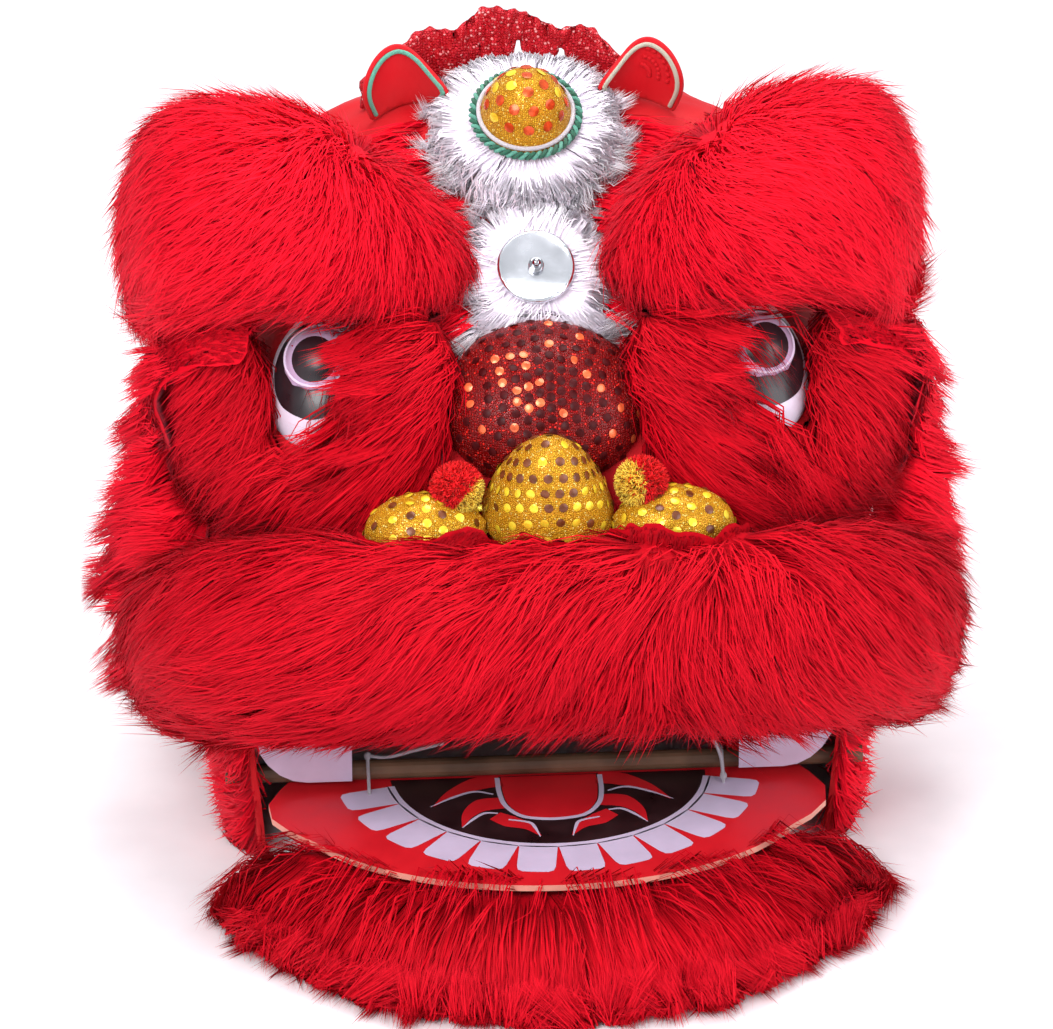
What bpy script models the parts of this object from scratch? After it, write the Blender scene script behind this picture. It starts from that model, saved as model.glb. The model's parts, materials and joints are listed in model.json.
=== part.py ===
# Lion dance head: a hollow cloth-covered shell that stands on its lower rim, with fur rolls, eyes,
# horn, mirror, ears and a lower jaw that turns about a wooden bar. Metres, +Z up, face towards -Y.
import math
from collections import namedtuple

import bmesh
import bpy
import numpy as np
from mathutils import Matrix, Vector

# Shell
head_height = 0.318
head_depth = 0.270
head_half_width = 0.150
wall = 0.003
fit_gap = 0.0004

# Mouth, bar and lower jaw
mouth_height = 0.075
mouth_cut_depth = 0.018
bar_diameter = 0.009
bar_back = 0.030
bar_height = 0.038
bar_proud = 0.005
bar_clearance = 0.0003
jaw_gap = 0.0005
jaw_thickness = 0.003
jaw_half_width = 0.129
jaw_reach = 0.102
jaw_rear = 0.006
jaw_lobe_radius = 0.028
jaw_lobe_forward = 0.025
string_diameter = 0.0016
tie_forward = 0.015
tie_half_spacing = 0.082
tie_hole_diameter = 0.003
tooth_width = 0.046
tooth_thickness = 0.0016
tooth_clear_of_board = 0.0045
tooth_lap = 0.008
tooth_rounding = 0.55  # share of the width that the outer lower corner takes
tooth_side = 0.72  # and of the height

# Beard
beard_reach = 0.180
beard_half_width = 0.152
beard_spread = 0.130
beard_locks = 17
beard_root = 0.016
beard_lock_lift = 0.0022

# Upper lip
lip_half_width = 0.148
lip_height = 0.134
lip_forward = 0.018
lip_radius = 0.058
lip_locks = 15

# Brows
brow_height = 0.297
brow_back = 0.084
brow_radius = 0.056
brow_inner = 0.030
brow_outer = {"left": 0.191, "right": 0.178}
brow_locks = 10

# Eyes
eye_spacing = 0.196
eye_height = 0.227
eye_half_width = 0.027
eye_half_height = 0.040
eye_crown = 0.010
eye_sink = 0.006
eyeball_diameter = 0.034
eyeball_out = 0.009
eyeball_rise = 0.0005
eyeball_flatness = 0.75

# Cheeks and side manes
cheek_radius = 0.026
cheek_locks = 9
mane_half_width = 0.146
mane_radius = 0.031
mane_spike = {"left": 0.017, "right": 0.012}
mane_locks = 8

# Nose
bridge_up = 0.68  # share of head_height
bridge_half_width = 0.048
bridge_length_share = 0.95  # half its length, as a share of the way up to the mirror
bridge_thickness = 0.026
nose_tip_diameter = 0.062
nose_tip_height = 0.046
nose_tip_foot = 0.180
nose_tip_back = 0.010
nose_tip_lean = 0.34
nostril_half_width = 0.029
nostril_shape = (1.0, 0.68, 0.62)  # half axes as shares of the half width
nostril_half_spacing = 0.0565
nostril_height = 0.178
pompom_diameter = 0.026
pompom_half_spacing = 0.042
pompom_height = 0.195
pompom_back = 0.004

# Mirror, horn, ears and crest
mirror_up = 0.815  # share of head_height
mirror_diameter = 0.036
mirror_knob_diameter = 0.0075
mirror_fur_radius = 0.035
mirror_pad_height = 0.007
mirror_pad_depth = 0.020
mirror_pad_locks = 12
horn_up = 0.957  # share of head_height
horn_diameter = 0.044
horn_height = 0.028
horn_fur_radius = 0.044
horn_pad_height = 0.006
horn_pad_depth = 0.026
horn_pad_locks = 14
trim_diameter = 0.004
ear_width = 0.041
ear_height = 0.028
ear_half_spacing = 0.051
ear_back = 0.178
ear_wall = 0.002
crest_height = 0.025
crest_back = 0.1985
crest_middle = -0.012
crest_half_width = 0.062
crest_root = 0.006
crest_wave_depth = 0.0045
crest_wall = 0.002
crest_waves = 5

# Places that follow from the sizes above: the origin is under the middle of the whole head.
whole_depth = head_depth + beard_reach - bar_back
front_y = beard_reach - bar_back - whole_depth / 2
bar_y = front_y + bar_back
bar_radius = bar_diameter / 2
board_top = bar_height - bar_radius - jaw_gap
board_bottom = board_top - jaw_thickness
string_radius = string_diameter / 2
bridge_half_length = bridge_length_share * (mirror_up - bridge_up) * head_height
least_left = 0.2  # share of a piece's volume that a good cut leaves at least

# Shares of head_height, head_depth (from the front), head_half_width; squareness of the front half.
Section = namedtuple("Section", "height front back half_width squareness")
shell_sections = (
    Section(0.000, 0.012, 0.945, 0.945, 8.0),
    Section(0.125, 0.010, 0.980, 0.973, 8.0),
    Section(0.250, 0.006, 1.000, 1.000, 7.5),
    Section(0.410, 0.000, 1.000, 1.000, 6.0),
    Section(0.565, 0.067, 0.993, 0.973, 4.6),
    Section(0.690, 0.185, 0.970, 0.920, 3.6),
    Section(0.800, 0.326, 0.933, 0.840, 3.0),
    Section(0.895, 0.463, 0.881, 0.707, 2.6),
    Section(0.960, 0.593, 0.815, 0.520, 2.4),
    Section(1.000, 0.690, 0.750, 0.150, 2.2),
)
shell_rows = (0.03, 0.18, 0.34, 0.47, 0.58, 0.68, 0.77, 0.86, 0.94)
back_squareness = 2.5
front_angles = (0, 22, 37, 45, 54, 70)  # degrees from the side, closer at the corner
back_angles = (0, 23, 45, 67)

# A station of a fur roll: how far along, its place as shares, and its thickness, upper and lower radius.
Station = namedtuple("Station", "along side back height thick upper lower")
lip_stations = (
    Station(0.00, -1.00, 1.35, 0.74, 0.20, 0.20, 0.25),
    Station(0.08, -1.06, 0.92, 0.84, 0.72, 0.75, 0.95),
    Station(0.20, -0.92, 0.38, 0.94, 0.96, 0.95, 1.00),
    Station(0.34, -0.66, 0.06, 0.99, 1.00, 1.00, 0.94),
    Station(0.50, 0.00, 0.00, 1.00, 1.00, 0.98, 0.80),
    Station(0.66, 0.66, 0.06, 0.99, 1.00, 1.00, 0.94),
    Station(0.80, 0.92, 0.38, 0.94, 0.96, 0.95, 1.02),
    Station(0.92, 1.06, 0.92, 0.84, 0.72, 0.75, 1.00),
    Station(1.00, 1.00, 1.35, 0.74, 0.20, 0.20, 0.25),
)
brow_stations = (
    Station(0.00, 0.00, 0.10, -0.50, 0.15, 0.15, 0.15),
    Station(0.10, 0.10, 0.06, -0.38, 0.52, 0.50, 0.50),
    Station(0.30, 0.32, 0.00, -0.12, 0.86, 0.86, 0.70),
    Station(0.55, 0.57, -0.02, 0.02, 1.00, 1.00, 0.74),
    Station(0.78, 0.78, 0.02, 0.00, 0.98, 1.00, 0.84),
    Station(0.93, 0.91, 0.12, -0.10, 0.80, 0.80, 0.92),
    Station(1.00, 0.99, 0.25, -0.22, 0.30, 0.34, 0.40),
)
cheek_stations = (
    Station(0.00, -1.40, 0.30, 0.95, 0.40, 0.40, 0.40),
    Station(0.16, -1.50, -0.10, 0.35, 1.00, 1.05, 0.95),
    Station(0.34, -1.30, -0.55, -0.74, 1.10, 0.95, 1.05),
    Station(0.52, -0.05, -0.75, -1.36, 1.05, 0.90, 1.10),
    Station(0.70, 1.30, -0.10, -0.92, 1.05, 0.90, 1.05),
    Station(0.86, 1.65, 0.60, 0.00, 1.00, 0.95, 1.00),
    Station(1.00, 1.60, 1.00, 0.80, 0.40, 0.40, 0.40),
)
mane_stations = (
    Station(0.00, 0.92, 0.32, 0.88, 0.30, 0.30, 0.30),
    Station(0.15, 0.98, 0.30, 0.76, 0.90, 0.85, 0.85),
    Station(0.40, 1.04, 0.27, 0.58, 1.00, 1.00, 1.00),
    Station(0.65, 1.06, 0.25, 0.40, 1.00, 1.00, 1.00),
    Station(0.85, 1.04, 0.25, 0.24, 0.80, 0.80, 0.80),
    Station(1.00, 1.00, 0.26, 0.12, 0.25, 0.25, 0.25),
)

# Each string's loose end from its knot, in metres from the bar's axis.
knot_share = 1.3  # of the string's diameter
tie_tails = {
    "left": ((0, 0, 0.0074), (0.009, -0.003, 0.008), (0.021, -0.005, 0.012), (0.035, -0.006, 0.016)),
    "right": ((0, -0.0135, -0.002), (-0.002, -0.012, 0.010), (-0.009, -0.010, 0.023), (-0.02, -0.008, 0.031)),
}

# Turned profiles: shares of the radius and of the height, from the top down the outer side.
dome_profile = (
    (0, 1.0), (0.18, 0.97), (0.42, 0.84), (0.66, 0.62), (0.86, 0.34), (0.97, 0.10), (1.0, 0), (0, 0),
)
horn_profile = ((0, 1.0), (0.30, 0.94), (0.58, 0.78), (0.82, 0.50), (0.96, 0.20), (1.0, 0), (0, 0))
mirror_profile = (
    (0, 0.62), (0.45, 0.66), (0.80, 0.82), (0.94, 1.0), (1.0, 0.80), (1.0, 0.30), (0.9, 0), (0, 0),
)
knob_profile = (
    (0, 1.0), (0.42, 0.92), (0.68, 0.68), (0.62, 0.42), (0.52, 0.36), (1.0, 0.30), (1.0, 0), (0, 0),
)

red_fur = (0.80, 0.015, 0.03)
red_cloth = (0.62, 0.012, 0.02)
colours = {
    "head_shell": (red_cloth, 0.45, 0.2),
    "mouth_bar": ((0.17, 0.09, 0.05), 0.7, 0.0),
    "jaw_board": ((0.70, 0.02, 0.03), 0.4, 0.0),
    "jaw_tie": ((0.80, 0.78, 0.85), 0.8, 0.0),
    "corner_tooth": ((0.70, 0.62, 0.75), 0.4, 0.0),
    "eye_plate": ((0.80, 0.75, 0.85), 0.35, 0.0),
    "eyeball": ((0.05, 0.03, 0.04), 0.15, 0.0),
    "nose_bridge": ((0.30, 0.01, 0.015), 0.35, 0.4),
    "nose_tip": ((0.75, 0.42, 0.06), 0.3, 0.8),
    "nostril": ((0.75, 0.42, 0.06), 0.3, 0.8),
    "pompom": ((0.75, 0.05, 0.03), 0.9, 0.0),
    "mirror_disc": ((0.80, 0.83, 0.88), 0.1, 1.0),
    "mirror_knob": ((0.85, 0.86, 0.90), 0.1, 1.0),
    "mirror_fur": ((0.88, 0.82, 0.88), 0.9, 0.0),
    "horn": ((0.75, 0.42, 0.06), 0.3, 0.8),
    "horn_trim": ((0.03, 0.25, 0.15), 0.6, 0.0),
    "horn_fur": ((0.88, 0.82, 0.88), 0.9, 0.0),
    "ear": (red_cloth, 0.6, 0.0),
    "crest_ruffle": (red_cloth, 0.6, 0.0),
}


def smooth(rows, at):
    """The columns of a table at a place between its rows; the first column says where each row is."""
    table = np.array(rows, float)
    where = table[:, 0]
    values = table[:, 1:]
    slope = np.gradient(values, where, axis=0)
    i = int(np.clip(np.searchsorted(where, at) - 1, 0, len(where) - 2))
    span = where[i + 1] - where[i]
    t = (at - where[i]) / span
    from_here = (2 * t**3 - 3 * t**2 + 1) * values[i] + (t**3 - 2 * t**2 + t) * span * slope[i]
    return from_here + (3 * t**2 - 2 * t**3) * values[i + 1] + (t**3 - t**2) * span * slope[i + 1]


def clear_scene():
    for obj in list(bpy.data.objects):
        bpy.data.objects.remove(obj, do_unlink=True)


def new_collection(name):
    collection = bpy.data.collections.new(name)
    bpy.context.scene.collection.children.link(collection)
    return collection


def material_of(name):
    """The piece's own material; the two of a pair have like ones."""
    colour, rough, metal = colours.get(name.rsplit("_", 1)[0], colours.get(name, (red_fur, 0.95, 0.0)))
    material = bpy.data.materials.new(name)
    material.use_nodes = True
    shader = material.node_tree.nodes["Principled BSDF"]
    shader.inputs["Base Color"].default_value = (*colour, 1)
    shader.inputs["Roughness"].default_value = rough
    shader.inputs["Metallic"].default_value = metal
    return material


def add_piece(name, mesh, at=(0, 0, 0)):
    """A node of the head, from a mesh in world coordinates, with its origin at a point of its own."""
    if name not in forms:
        keep_form(name, mesh)
    mesh.name = name
    mesh.transform(Matrix.Translation(-Vector(at)))
    mesh.materials.clear()
    mesh.materials.append(material_of(name))
    mesh.shade_smooth()
    mesh.set_sharp_from_angle(angle=math.radians(40))
    obj = bpy.data.objects.new(name, mesh)
    obj.location = at
    head_pieces.objects.link(obj)
    return obj


def add_cutter(name, mesh):
    obj = bpy.data.objects.new(name, mesh)
    obj.hide_render = True
    obj.display_type = "WIRE"
    cutters.objects.link(obj)
    return obj


def mesh_of(bm):
    """A mesh of flat triangles: a bent face would be split one way in a piece and another way in a cut."""
    bmesh.ops.triangulate(bm, faces=bm.faces)
    bmesh.ops.recalc_face_normals(bm, faces=bm.faces)
    mesh = bpy.data.meshes.new("shape")
    bm.to_mesh(mesh)
    bm.free()
    return mesh


def evaluated_mesh(obj):
    bpy.context.view_layer.update()
    return bpy.data.meshes.new_from_object(obj.evaluated_get(bpy.context.evaluated_depsgraph_get()))


def apply_modifiers(obj):
    """Bakes the modifiers into the object's mesh, which keeps its name and its material."""
    old = obj.data
    obj.data = evaluated_mesh(obj)
    obj.modifiers.clear()
    name = old.name
    bpy.data.meshes.remove(old)
    obj.data.name = name


def keep_main_body(obj):
    """Drops the crumbs that a cut leaves beside the main body."""
    bm = bmesh.new()
    bm.from_mesh(obj.data)
    left = set(bm.verts)
    bodies = []
    while left:
        body = {left.pop()}
        edge = list(body)
        while edge:
            vert = edge.pop()
            for link in vert.link_edges:
                other = link.other_vert(vert)
                if other in left:
                    left.remove(other)
                    body.add(other)
                    edge.append(other)
        bodies.append(body)
    bodies.sort(key=len)
    for body in bodies[:-1]:
        bmesh.ops.delete(bm, geom=list(body), context="VERTS")
    bm.to_mesh(obj.data)
    bm.free()


def volume_of(mesh):
    """The volume of a closed mesh, and zero for one with an open or a shared edge."""
    bm = bmesh.new()
    bm.from_mesh(mesh)
    whole = len(bm.faces) > 3 and all(len(edge.link_faces) == 2 for edge in bm.edges)
    volume = bm.calc_volume() if whole else 0.0
    bm.free()
    return volume


def boolean(obj, other, operation):
    """Cuts or joins with the exact solver, and with the manifold one where that leaves no whole body."""
    before = obj.data.copy()
    least = least_left * volume_of(before)
    for solver in ("EXACT", "MANIFOLD"):
        modifier = obj.modifiers.new(operation.lower(), "BOOLEAN")
        modifier.operation = operation
        modifier.solver = solver
        modifier.object = other
        apply_modifiers(obj)
        if volume_of(obj.data) > least:
            return
        obj.data = before.copy()


def thickened(sheet, thickness, offset=0):
    """A closed body from a sheet of cloth; an offset of -1 puts all its thickness inside."""
    guide = add_cutter("sheet", sheet)
    cloth = guide.modifiers.new("cloth", "SOLIDIFY")
    cloth.thickness = thickness
    cloth.offset = offset
    body = evaluated_mesh(guide)
    bpy.data.objects.remove(guide, do_unlink=True)
    return body


def on_side(mesh, side):
    """The mesh on its own side of the head: it is made on the right."""
    if side < 0:
        mesh.transform(Matrix.Diagonal((-1, 1, 1, 1)))
        mesh.flip_normals()
    return mesh


def grow(mesh, gap):
    """Moves each point outwards by a gap."""
    bm = bmesh.new()
    bm.from_mesh(mesh)
    bm.normal_update()
    moved = [vert.co + vert.normal * gap for vert in bm.verts]
    for vert, place in zip(bm.verts, moved):
        vert.co = place
    bm.to_mesh(mesh)
    bm.free()


def keep_form(name, mesh):
    """A cutter with the whole form of a piece, larger all round by the gap, for what lies against it."""
    form = mesh.copy()
    grow(form, fit_gap)
    forms[name] = add_cutter("form_of_" + name, form)


def fit(piece, *neighbours):
    """Cuts a piece back so that it meets the shell and its neighbours with the gap between them."""
    for name in ("head_shell", *neighbours):
        boolean(piece, forms[name], "DIFFERENCE")
    keep_main_body(piece)


def join_into(obj, *others):
    """Fuses closed meshes into one body."""
    for mesh in others:
        other = add_cutter("joined", mesh)
        boolean(obj, other, "UNION")
        bpy.data.objects.remove(other, do_unlink=True)
    keep_main_body(obj)


def loft(rings, closed=False):
    """A closed body through rings with as many points each; a ring of one point ends it in a tip."""
    bm = bmesh.new()
    made = [[bm.verts.new(point) for point in ring] for ring in rings]
    pairs = list(zip(made, made[1:]))
    if closed:
        pairs.append((made[-1], made[0]))
    for one, two in pairs:
        count = max(len(one), len(two))
        for i in range(count):
            j = (i + 1) % count
            corners = [one[i % len(one)], one[j % len(one)], two[j % len(two)], two[i % len(two)]]
            bm.faces.new(list(dict.fromkeys(corners)))
    for end in ((made[0], made[-1]) if not closed else ()):
        if len(end) > 2:
            bm.faces.new(end)
    return mesh_of(bm)


def turned(profile, radius, height, seat, direction, steps):
    """A closed turned body whose foot is at a seat and whose axis points along a direction."""
    bm = bmesh.new()
    points = [bm.verts.new((share * radius, 0, up * height)) for share, up in profile]
    for one, two in zip(points, points[1:]):
        bm.edges.new((one, two))
    mesh = bpy.data.meshes.new("profile")
    bm.to_mesh(mesh)
    bm.free()
    outline = add_cutter("profile", mesh)
    screw = outline.modifiers.new("turn", "SCREW")
    screw.steps = steps
    screw.render_steps = steps
    screw.use_merge_vertices = True
    screw.merge_threshold = 0.00001
    body = evaluated_mesh(outline)
    bpy.data.objects.remove(outline, do_unlink=True)
    turn = Vector(direction).to_track_quat("Z", "Y").to_matrix().to_4x4()
    body.transform(Matrix.Translation(seat) @ turn)
    bm = bmesh.new()
    bm.from_mesh(body)
    bmesh.ops.remove_doubles(bm, verts=bm.verts, dist=0.00001)
    return mesh_of(bm)


def tube(points, diameter, cyclic=False):
    """A round tube through points, as one closed mesh."""
    curve = bpy.data.curves.new("tube", "CURVE")
    curve.dimensions = "3D"
    curve.bevel_depth = diameter / 2
    curve.bevel_resolution = 1
    curve.use_fill_caps = True
    spline = curve.splines.new("POLY")
    spline.points.add(len(points) - 1)
    for place, point in zip(spline.points, points):
        place.co = (*point, 1)
    spline.use_cyclic_u = cyclic
    return welded(curve)


def plate(outline, thickness):
    """A flat plate in the XY plane, its middle at height zero, from an outline of points."""
    curve = bpy.data.curves.new("plate", "CURVE")
    curve.dimensions = "2D"
    curve.fill_mode = "BOTH"
    curve.extrude = thickness / 2
    spline = curve.splines.new("POLY")
    spline.points.add(len(outline) - 1)
    for place, point in zip(spline.points, outline):
        place.co = (*point, 0, 1)
    spline.use_cyclic_u = True
    return welded(curve)


def welded(curve):
    guide = bpy.data.objects.new("guide", curve)
    cutters.objects.link(guide)
    mesh = evaluated_mesh(guide)
    bpy.data.objects.remove(guide, do_unlink=True)
    bm = bmesh.new()
    bm.from_mesh(mesh)
    bmesh.ops.remove_doubles(bm, verts=bm.verts, dist=0.00001)
    return mesh_of(bm)


def ball(place, axes, turn=None, segments=20, rings=12):
    """An ellipsoid from its place, its three half axes and a rotation."""
    bm = bmesh.new()
    bmesh.ops.create_uvsphere(bm, u_segments=segments, v_segments=rings, radius=1)
    matrix = Matrix.Translation(place) @ (turn or Matrix.Identity(4)) @ Matrix.Diagonal((*axes, 1))
    bmesh.ops.transform(bm, matrix=matrix, verts=bm.verts)
    return mesh_of(bm)


def rod(place, radius, length, direction, sides):
    bm = bmesh.new()
    bmesh.ops.create_cone(
        bm, cap_ends=True, segments=sides, radius1=radius, radius2=radius, depth=length
    )
    turn = Vector(direction).to_track_quat("Z", "Y").to_matrix().to_4x4()
    bmesh.ops.transform(bm, matrix=Matrix.Translation(place) @ turn, verts=bm.verts)
    return mesh_of(bm)


def block(low, high):
    bm = bmesh.new()
    bmesh.ops.create_cube(bm, size=1)
    low = Vector(low)
    high = Vector(high)
    matrix = Matrix.Translation((low + high) / 2) @ Matrix.Diagonal((*(high - low), 1))
    bmesh.ops.transform(bm, matrix=matrix, verts=bm.verts)
    return mesh_of(bm)


def section_at(height):
    """Front y, back y, half width and squareness of the shell at a height."""
    front, back, half_width, squareness = smooth(shell_sections, np.clip(height / head_height, 0, 1))
    return (
        front_y + front * head_depth,
        front_y + back * head_depth,
        half_width * head_half_width,
        squareness,
    )


def shell_ring(height):
    front, back, half_width, squareness = section_at(height)
    degrees = [*back_angles, 90] + [180 - angle for angle in back_angles[::-1]]
    degrees += [180 + angle for angle in front_angles[1:]] + [270]
    degrees += [360 - angle for angle in front_angles[:0:-1]]
    ring = []
    for angle in degrees:
        across = math.cos(math.radians(angle))
        along = math.sin(math.radians(angle))
        power = squareness if along < 0 else back_squareness
        reach = (abs(across) ** power + abs(along) ** power) ** (-1 / power)
        middle = (front + back) / 2
        ring.append((half_width * reach * across, middle + (back - front) / 2 * reach * along, height))
    return ring


def shell_front(x, height):
    """The y of the shell's front surface at x and a height."""
    front, back, half_width, squareness = section_at(height)
    share = min(abs(x) / half_width, 0.999)
    return (front + back) / 2 - (back - front) / 2 * (1 - share**squareness) ** (1 / squareness)


def shell_top(x, y):
    """The height of the shell's top surface over a point."""
    low = head_height / 2
    high = head_height
    for _ in range(30):
        middle = (low + high) / 2
        front, back, half_width, squareness = section_at(middle)
        power = squareness if y < (front + back) / 2 else back_squareness
        across = abs(x) / half_width
        along = abs(y - (front + back) / 2) / ((back - front) / 2)
        if across**power + along**power < 1:
            low = middle
        else:
            high = middle
    return low


def seat_on_shell(x, height):
    """A point on the shell's front surface and the outward direction there."""
    step = head_height / 200
    place = Vector((x, shell_front(x, height), height))
    by_x = Vector((step, shell_front(x + step, height) - shell_front(x - step, height), 0))
    by_z = Vector((0, shell_front(x, height + step) - shell_front(x, height - step), step))
    by_x.x *= 2
    by_z.z *= 2
    return place, by_x.cross(by_z).normalized()


def fur_roll(stations, facing, run, locks, around, ridge, back=1.0, spike=0.0, spike_angle=0.0, seed=1):
    """A closed roll of fur along its stations, with a ridge for each lock and a furrow between locks.
    Stations hold places and radii on the right side; facing is the side that the thickness is measured
    to, or none for level and away from the head, back its share on the other side, and run the axes
    along which the roll goes."""
    chance = np.random.default_rng(seed)
    rows = 2 * locks + 1
    places = [smooth(stations, i / (rows - 1)) for i in range(rows)]
    rings = []
    for i, (x, y, z, thick, upper, lower) in enumerate(places):
        before = Vector(places[max(i - 1, 0)][:3])
        after = Vector(places[min(i + 1, rows - 1)][:3])
        along = ((after - before) * Vector(run)).normalized()
        if facing:
            out = (Vector(facing) - along * along.dot(facing)).normalized()
        else:
            out = along.cross((0, 0, 1))
        up = out.cross(along)
        crest = i % 2
        ragged = chance.uniform(0.75, 1.25)
        ring = []
        for k in range(around):
            angle = 2 * math.pi * (k + 0.5 * crest) / around
            swell = 1 + ridge * ragged * (1 if crest else -1)
            lift = max(0.0, math.cos(angle - spike_angle * chance.uniform(0.6, 1.4))) ** 5
            swell += spike * ragged * lift * crest
            side = upper if math.sin(angle) > 0 else lower
            depth = thick if math.cos(angle) > 0 else thick * back
            ring.append(
                Vector((x, y, z))
                + out * depth * swell * math.cos(angle)
                + up * side * swell * math.sin(angle)
            )
        rings.append(ring)
    return loft(rings)


def fur_pad(seat, direction, radius, pad_radius, pad_height, locks, depth, seed):
    """A round pad of short fur on the shell: a flat seat in the middle and locks that point outwards."""
    chance = np.random.default_rng(seed)
    turn = Vector(direction).to_track_quat("Z", "Y").to_matrix().to_4x4()
    place = Matrix.Translation(seat) @ turn
    reach = chance.uniform(0.92, 1.0, locks)
    rows = (
        (pad_radius, pad_height, 0.0),
        (0.5 * pad_radius + 0.5 * radius, pad_height * 1.35, 0.03),
        (radius, pad_height * 0.55, 0.10),
        (0.94 * radius, -depth, 0.06),
    )
    rings = [[place @ Vector((0, 0, pad_height))]]
    for ring_radius, height, relief in rows:
        ring = []
        for k in range(2 * locks):
            sign = 1 if k % 2 else -1
            share = ring_radius * (1 + sign * relief) * (1 + relief * 6 * (reach[k // 2] - 1))
            angle = math.pi * k / locks
            ring.append(place @ Vector((share * math.cos(angle), share * math.sin(angle), height)))
        rings.append(ring)
    rings.append([place @ Vector((0, 0, -depth))])
    return loft(rings)


def make_shell():
    """The hollow head, open below, with its mouth cut in front and a hole for the bar on each side."""
    heights = [0.0] + [row * head_height for row in shell_rows]
    rings = [shell_ring(height) for height in heights]
    rings[0] = [(x, y, 0.0) for x, y, _ in rings[1]]
    front, back, _, _ = section_at(head_height)
    rings.append([(0, (front + back) / 2, head_height)])
    solid = loft(rings)
    keep_form("head_shell", solid)
    bm = bmesh.new()
    bm.from_mesh(solid)
    floor = [face for face in bm.faces if all(vert.co.z == 0 for vert in face.verts)]
    bmesh.ops.delete(bm, geom=floor, context="FACES")
    shell = add_piece("head_shell", thickened(mesh_of(bm), wall, offset=-1))
    mouth_back = front_y + mouth_cut_depth
    side = 2 * head_half_width
    mouth = add_cutter(
        "mouth_cutter", block((-side, front_y - wall, -wall), (side, mouth_back, mouth_height))
    )
    boolean(shell, mouth, "DIFFERENCE")
    bar_hole = rod(
        (0, bar_y, bar_height), bar_radius + bar_clearance, 4 * head_half_width, (1, 0, 0), 16
    )
    boolean(shell, add_cutter("bar_hole_cutter", bar_hole), "DIFFERENCE")
    keep_main_body(shell)


def side_wall_at(y, height):
    """How far out the shell's side is at a place in its front half."""
    front, back, half_width, squareness = section_at(height)
    share = ((front + back) / 2 - y) / ((back - front) / 2)
    return half_width * (1 - share**squareness) ** (1 / squareness)


def make_bar():
    length = 2 * (side_wall_at(bar_y, bar_height) + bar_proud)
    mesh = rod((0, bar_y, bar_height), bar_radius, length, (1, 0, 0), 16)
    add_piece("mouth_bar", mesh, (0, bar_y, bar_height))


def jaw_outline(count):
    """The board's outline about its own middle: an elliptical front with a round lobe on each side."""
    middle = 0.2 * jaw_reach
    outline = []
    for i in range(count):
        angle = 2 * math.pi * i / count
        across = math.cos(angle)
        forward = math.sin(angle)
        front = 1 / math.hypot(across / (0.94 * jaw_half_width), forward / (jaw_reach - middle))
        lobe_x = jaw_half_width - jaw_lobe_radius
        lobe_f = jaw_lobe_forward - middle
        towards = abs(across) * lobe_x + forward * lobe_f
        beside = lobe_x**2 + lobe_f**2 - towards**2
        lobe = towards + math.sqrt(max(jaw_lobe_radius**2 - beside, 0)) if towards > 0 else 0
        if beside > jaw_lobe_radius**2:
            lobe = 0
        reach = max(front, lobe)
        if forward < 0:
            reach = min(reach, (middle + jaw_rear) / -forward)
        outline.append((across * reach, middle + forward * reach))
    return outline


def make_jaw_board():
    outline = [(x, bar_y - forward) for x, forward in jaw_outline(60)]
    mesh = plate(outline, jaw_thickness)
    mesh.transform(Matrix.Translation((0, 0, board_top - jaw_thickness / 2)))
    board = add_piece("jaw_board", mesh, (0, bar_y, bar_height))
    for side in (-1, 1):
        place = (side * tie_half_spacing, bar_y - tie_forward, board_top)
        hole = rod(place, tie_hole_diameter / 2, 4 * jaw_thickness, (0, 0, 1), 10)
        boolean(board, add_cutter("tie_hole_cutter", hole), "DIFFERENCE")
    return board


def make_tie(name, side, tail):
    """A string loop round the bar and the board's rear edge, through the board's hole, with a knot."""
    reach = bar_radius + 1.3 * jaw_gap + string_radius
    under = board_bottom - bar_height - fit_gap - string_radius
    behind = jaw_rear + 2 * fit_gap + string_radius
    corner = 1.2 * string_radius
    path = [(-tie_forward, board_top - bar_height + 2 * string_radius)]
    for degrees in (130, 95, 60, 25):
        angle = math.radians(degrees)
        path.append((reach * math.cos(angle), reach * math.sin(angle)))
    path += [(behind, 0.2 * under), (behind, under + corner), (behind - corner, under)]
    path += [(-tie_forward + string_diameter, under), (-tie_forward, under + string_radius)]
    x = side * tie_half_spacing
    loop = tube([(x, bar_y + y, bar_height + z) for y, z in path], string_diameter, cyclic=True)
    tie = add_piece(name, loop, (x, bar_y, bar_height))
    knot = Vector((x, bar_y, bar_height)) + Vector(tail[0])
    strand = tube([Vector((x, bar_y, bar_height)) + Vector(step) for step in tail], string_diameter)
    join_into(tie, ball(knot, (knot_share * string_diameter,) * 3, segments=6, rings=4), strand)
    return tie


def make_tooth(name, side):
    """A thin plate at the mouth's corner, seated on the inside of the side wall."""
    y = bar_y - bar_radius - 2.5 * tooth_thickness
    bottom = board_top + tooth_clear_of_board
    top = mouth_height + tooth_lap
    outer = side_wall_at(y - tooth_thickness, bottom) - wall - fit_gap / 2
    inner = outer - tooth_width
    outline = [(inner, bottom), (inner, top), (outer, top)]
    for i in range(7):
        angle = math.pi / 2 * i / 6
        x = outer - tooth_rounding * tooth_width * (1 - math.cos(angle))
        outline.append((x, bottom + tooth_side * (top - bottom) * (1 - math.sin(angle))))
    mesh = plate([(side * x, z) for x, z in outline], tooth_thickness)
    mesh.transform(Matrix.Rotation(math.pi / 2, 4, "X"))
    mesh.transform(Matrix.Translation((0, y, 0)))
    add_piece("corner_tooth_" + name, mesh, (side * outer, y, mouth_height))


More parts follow.
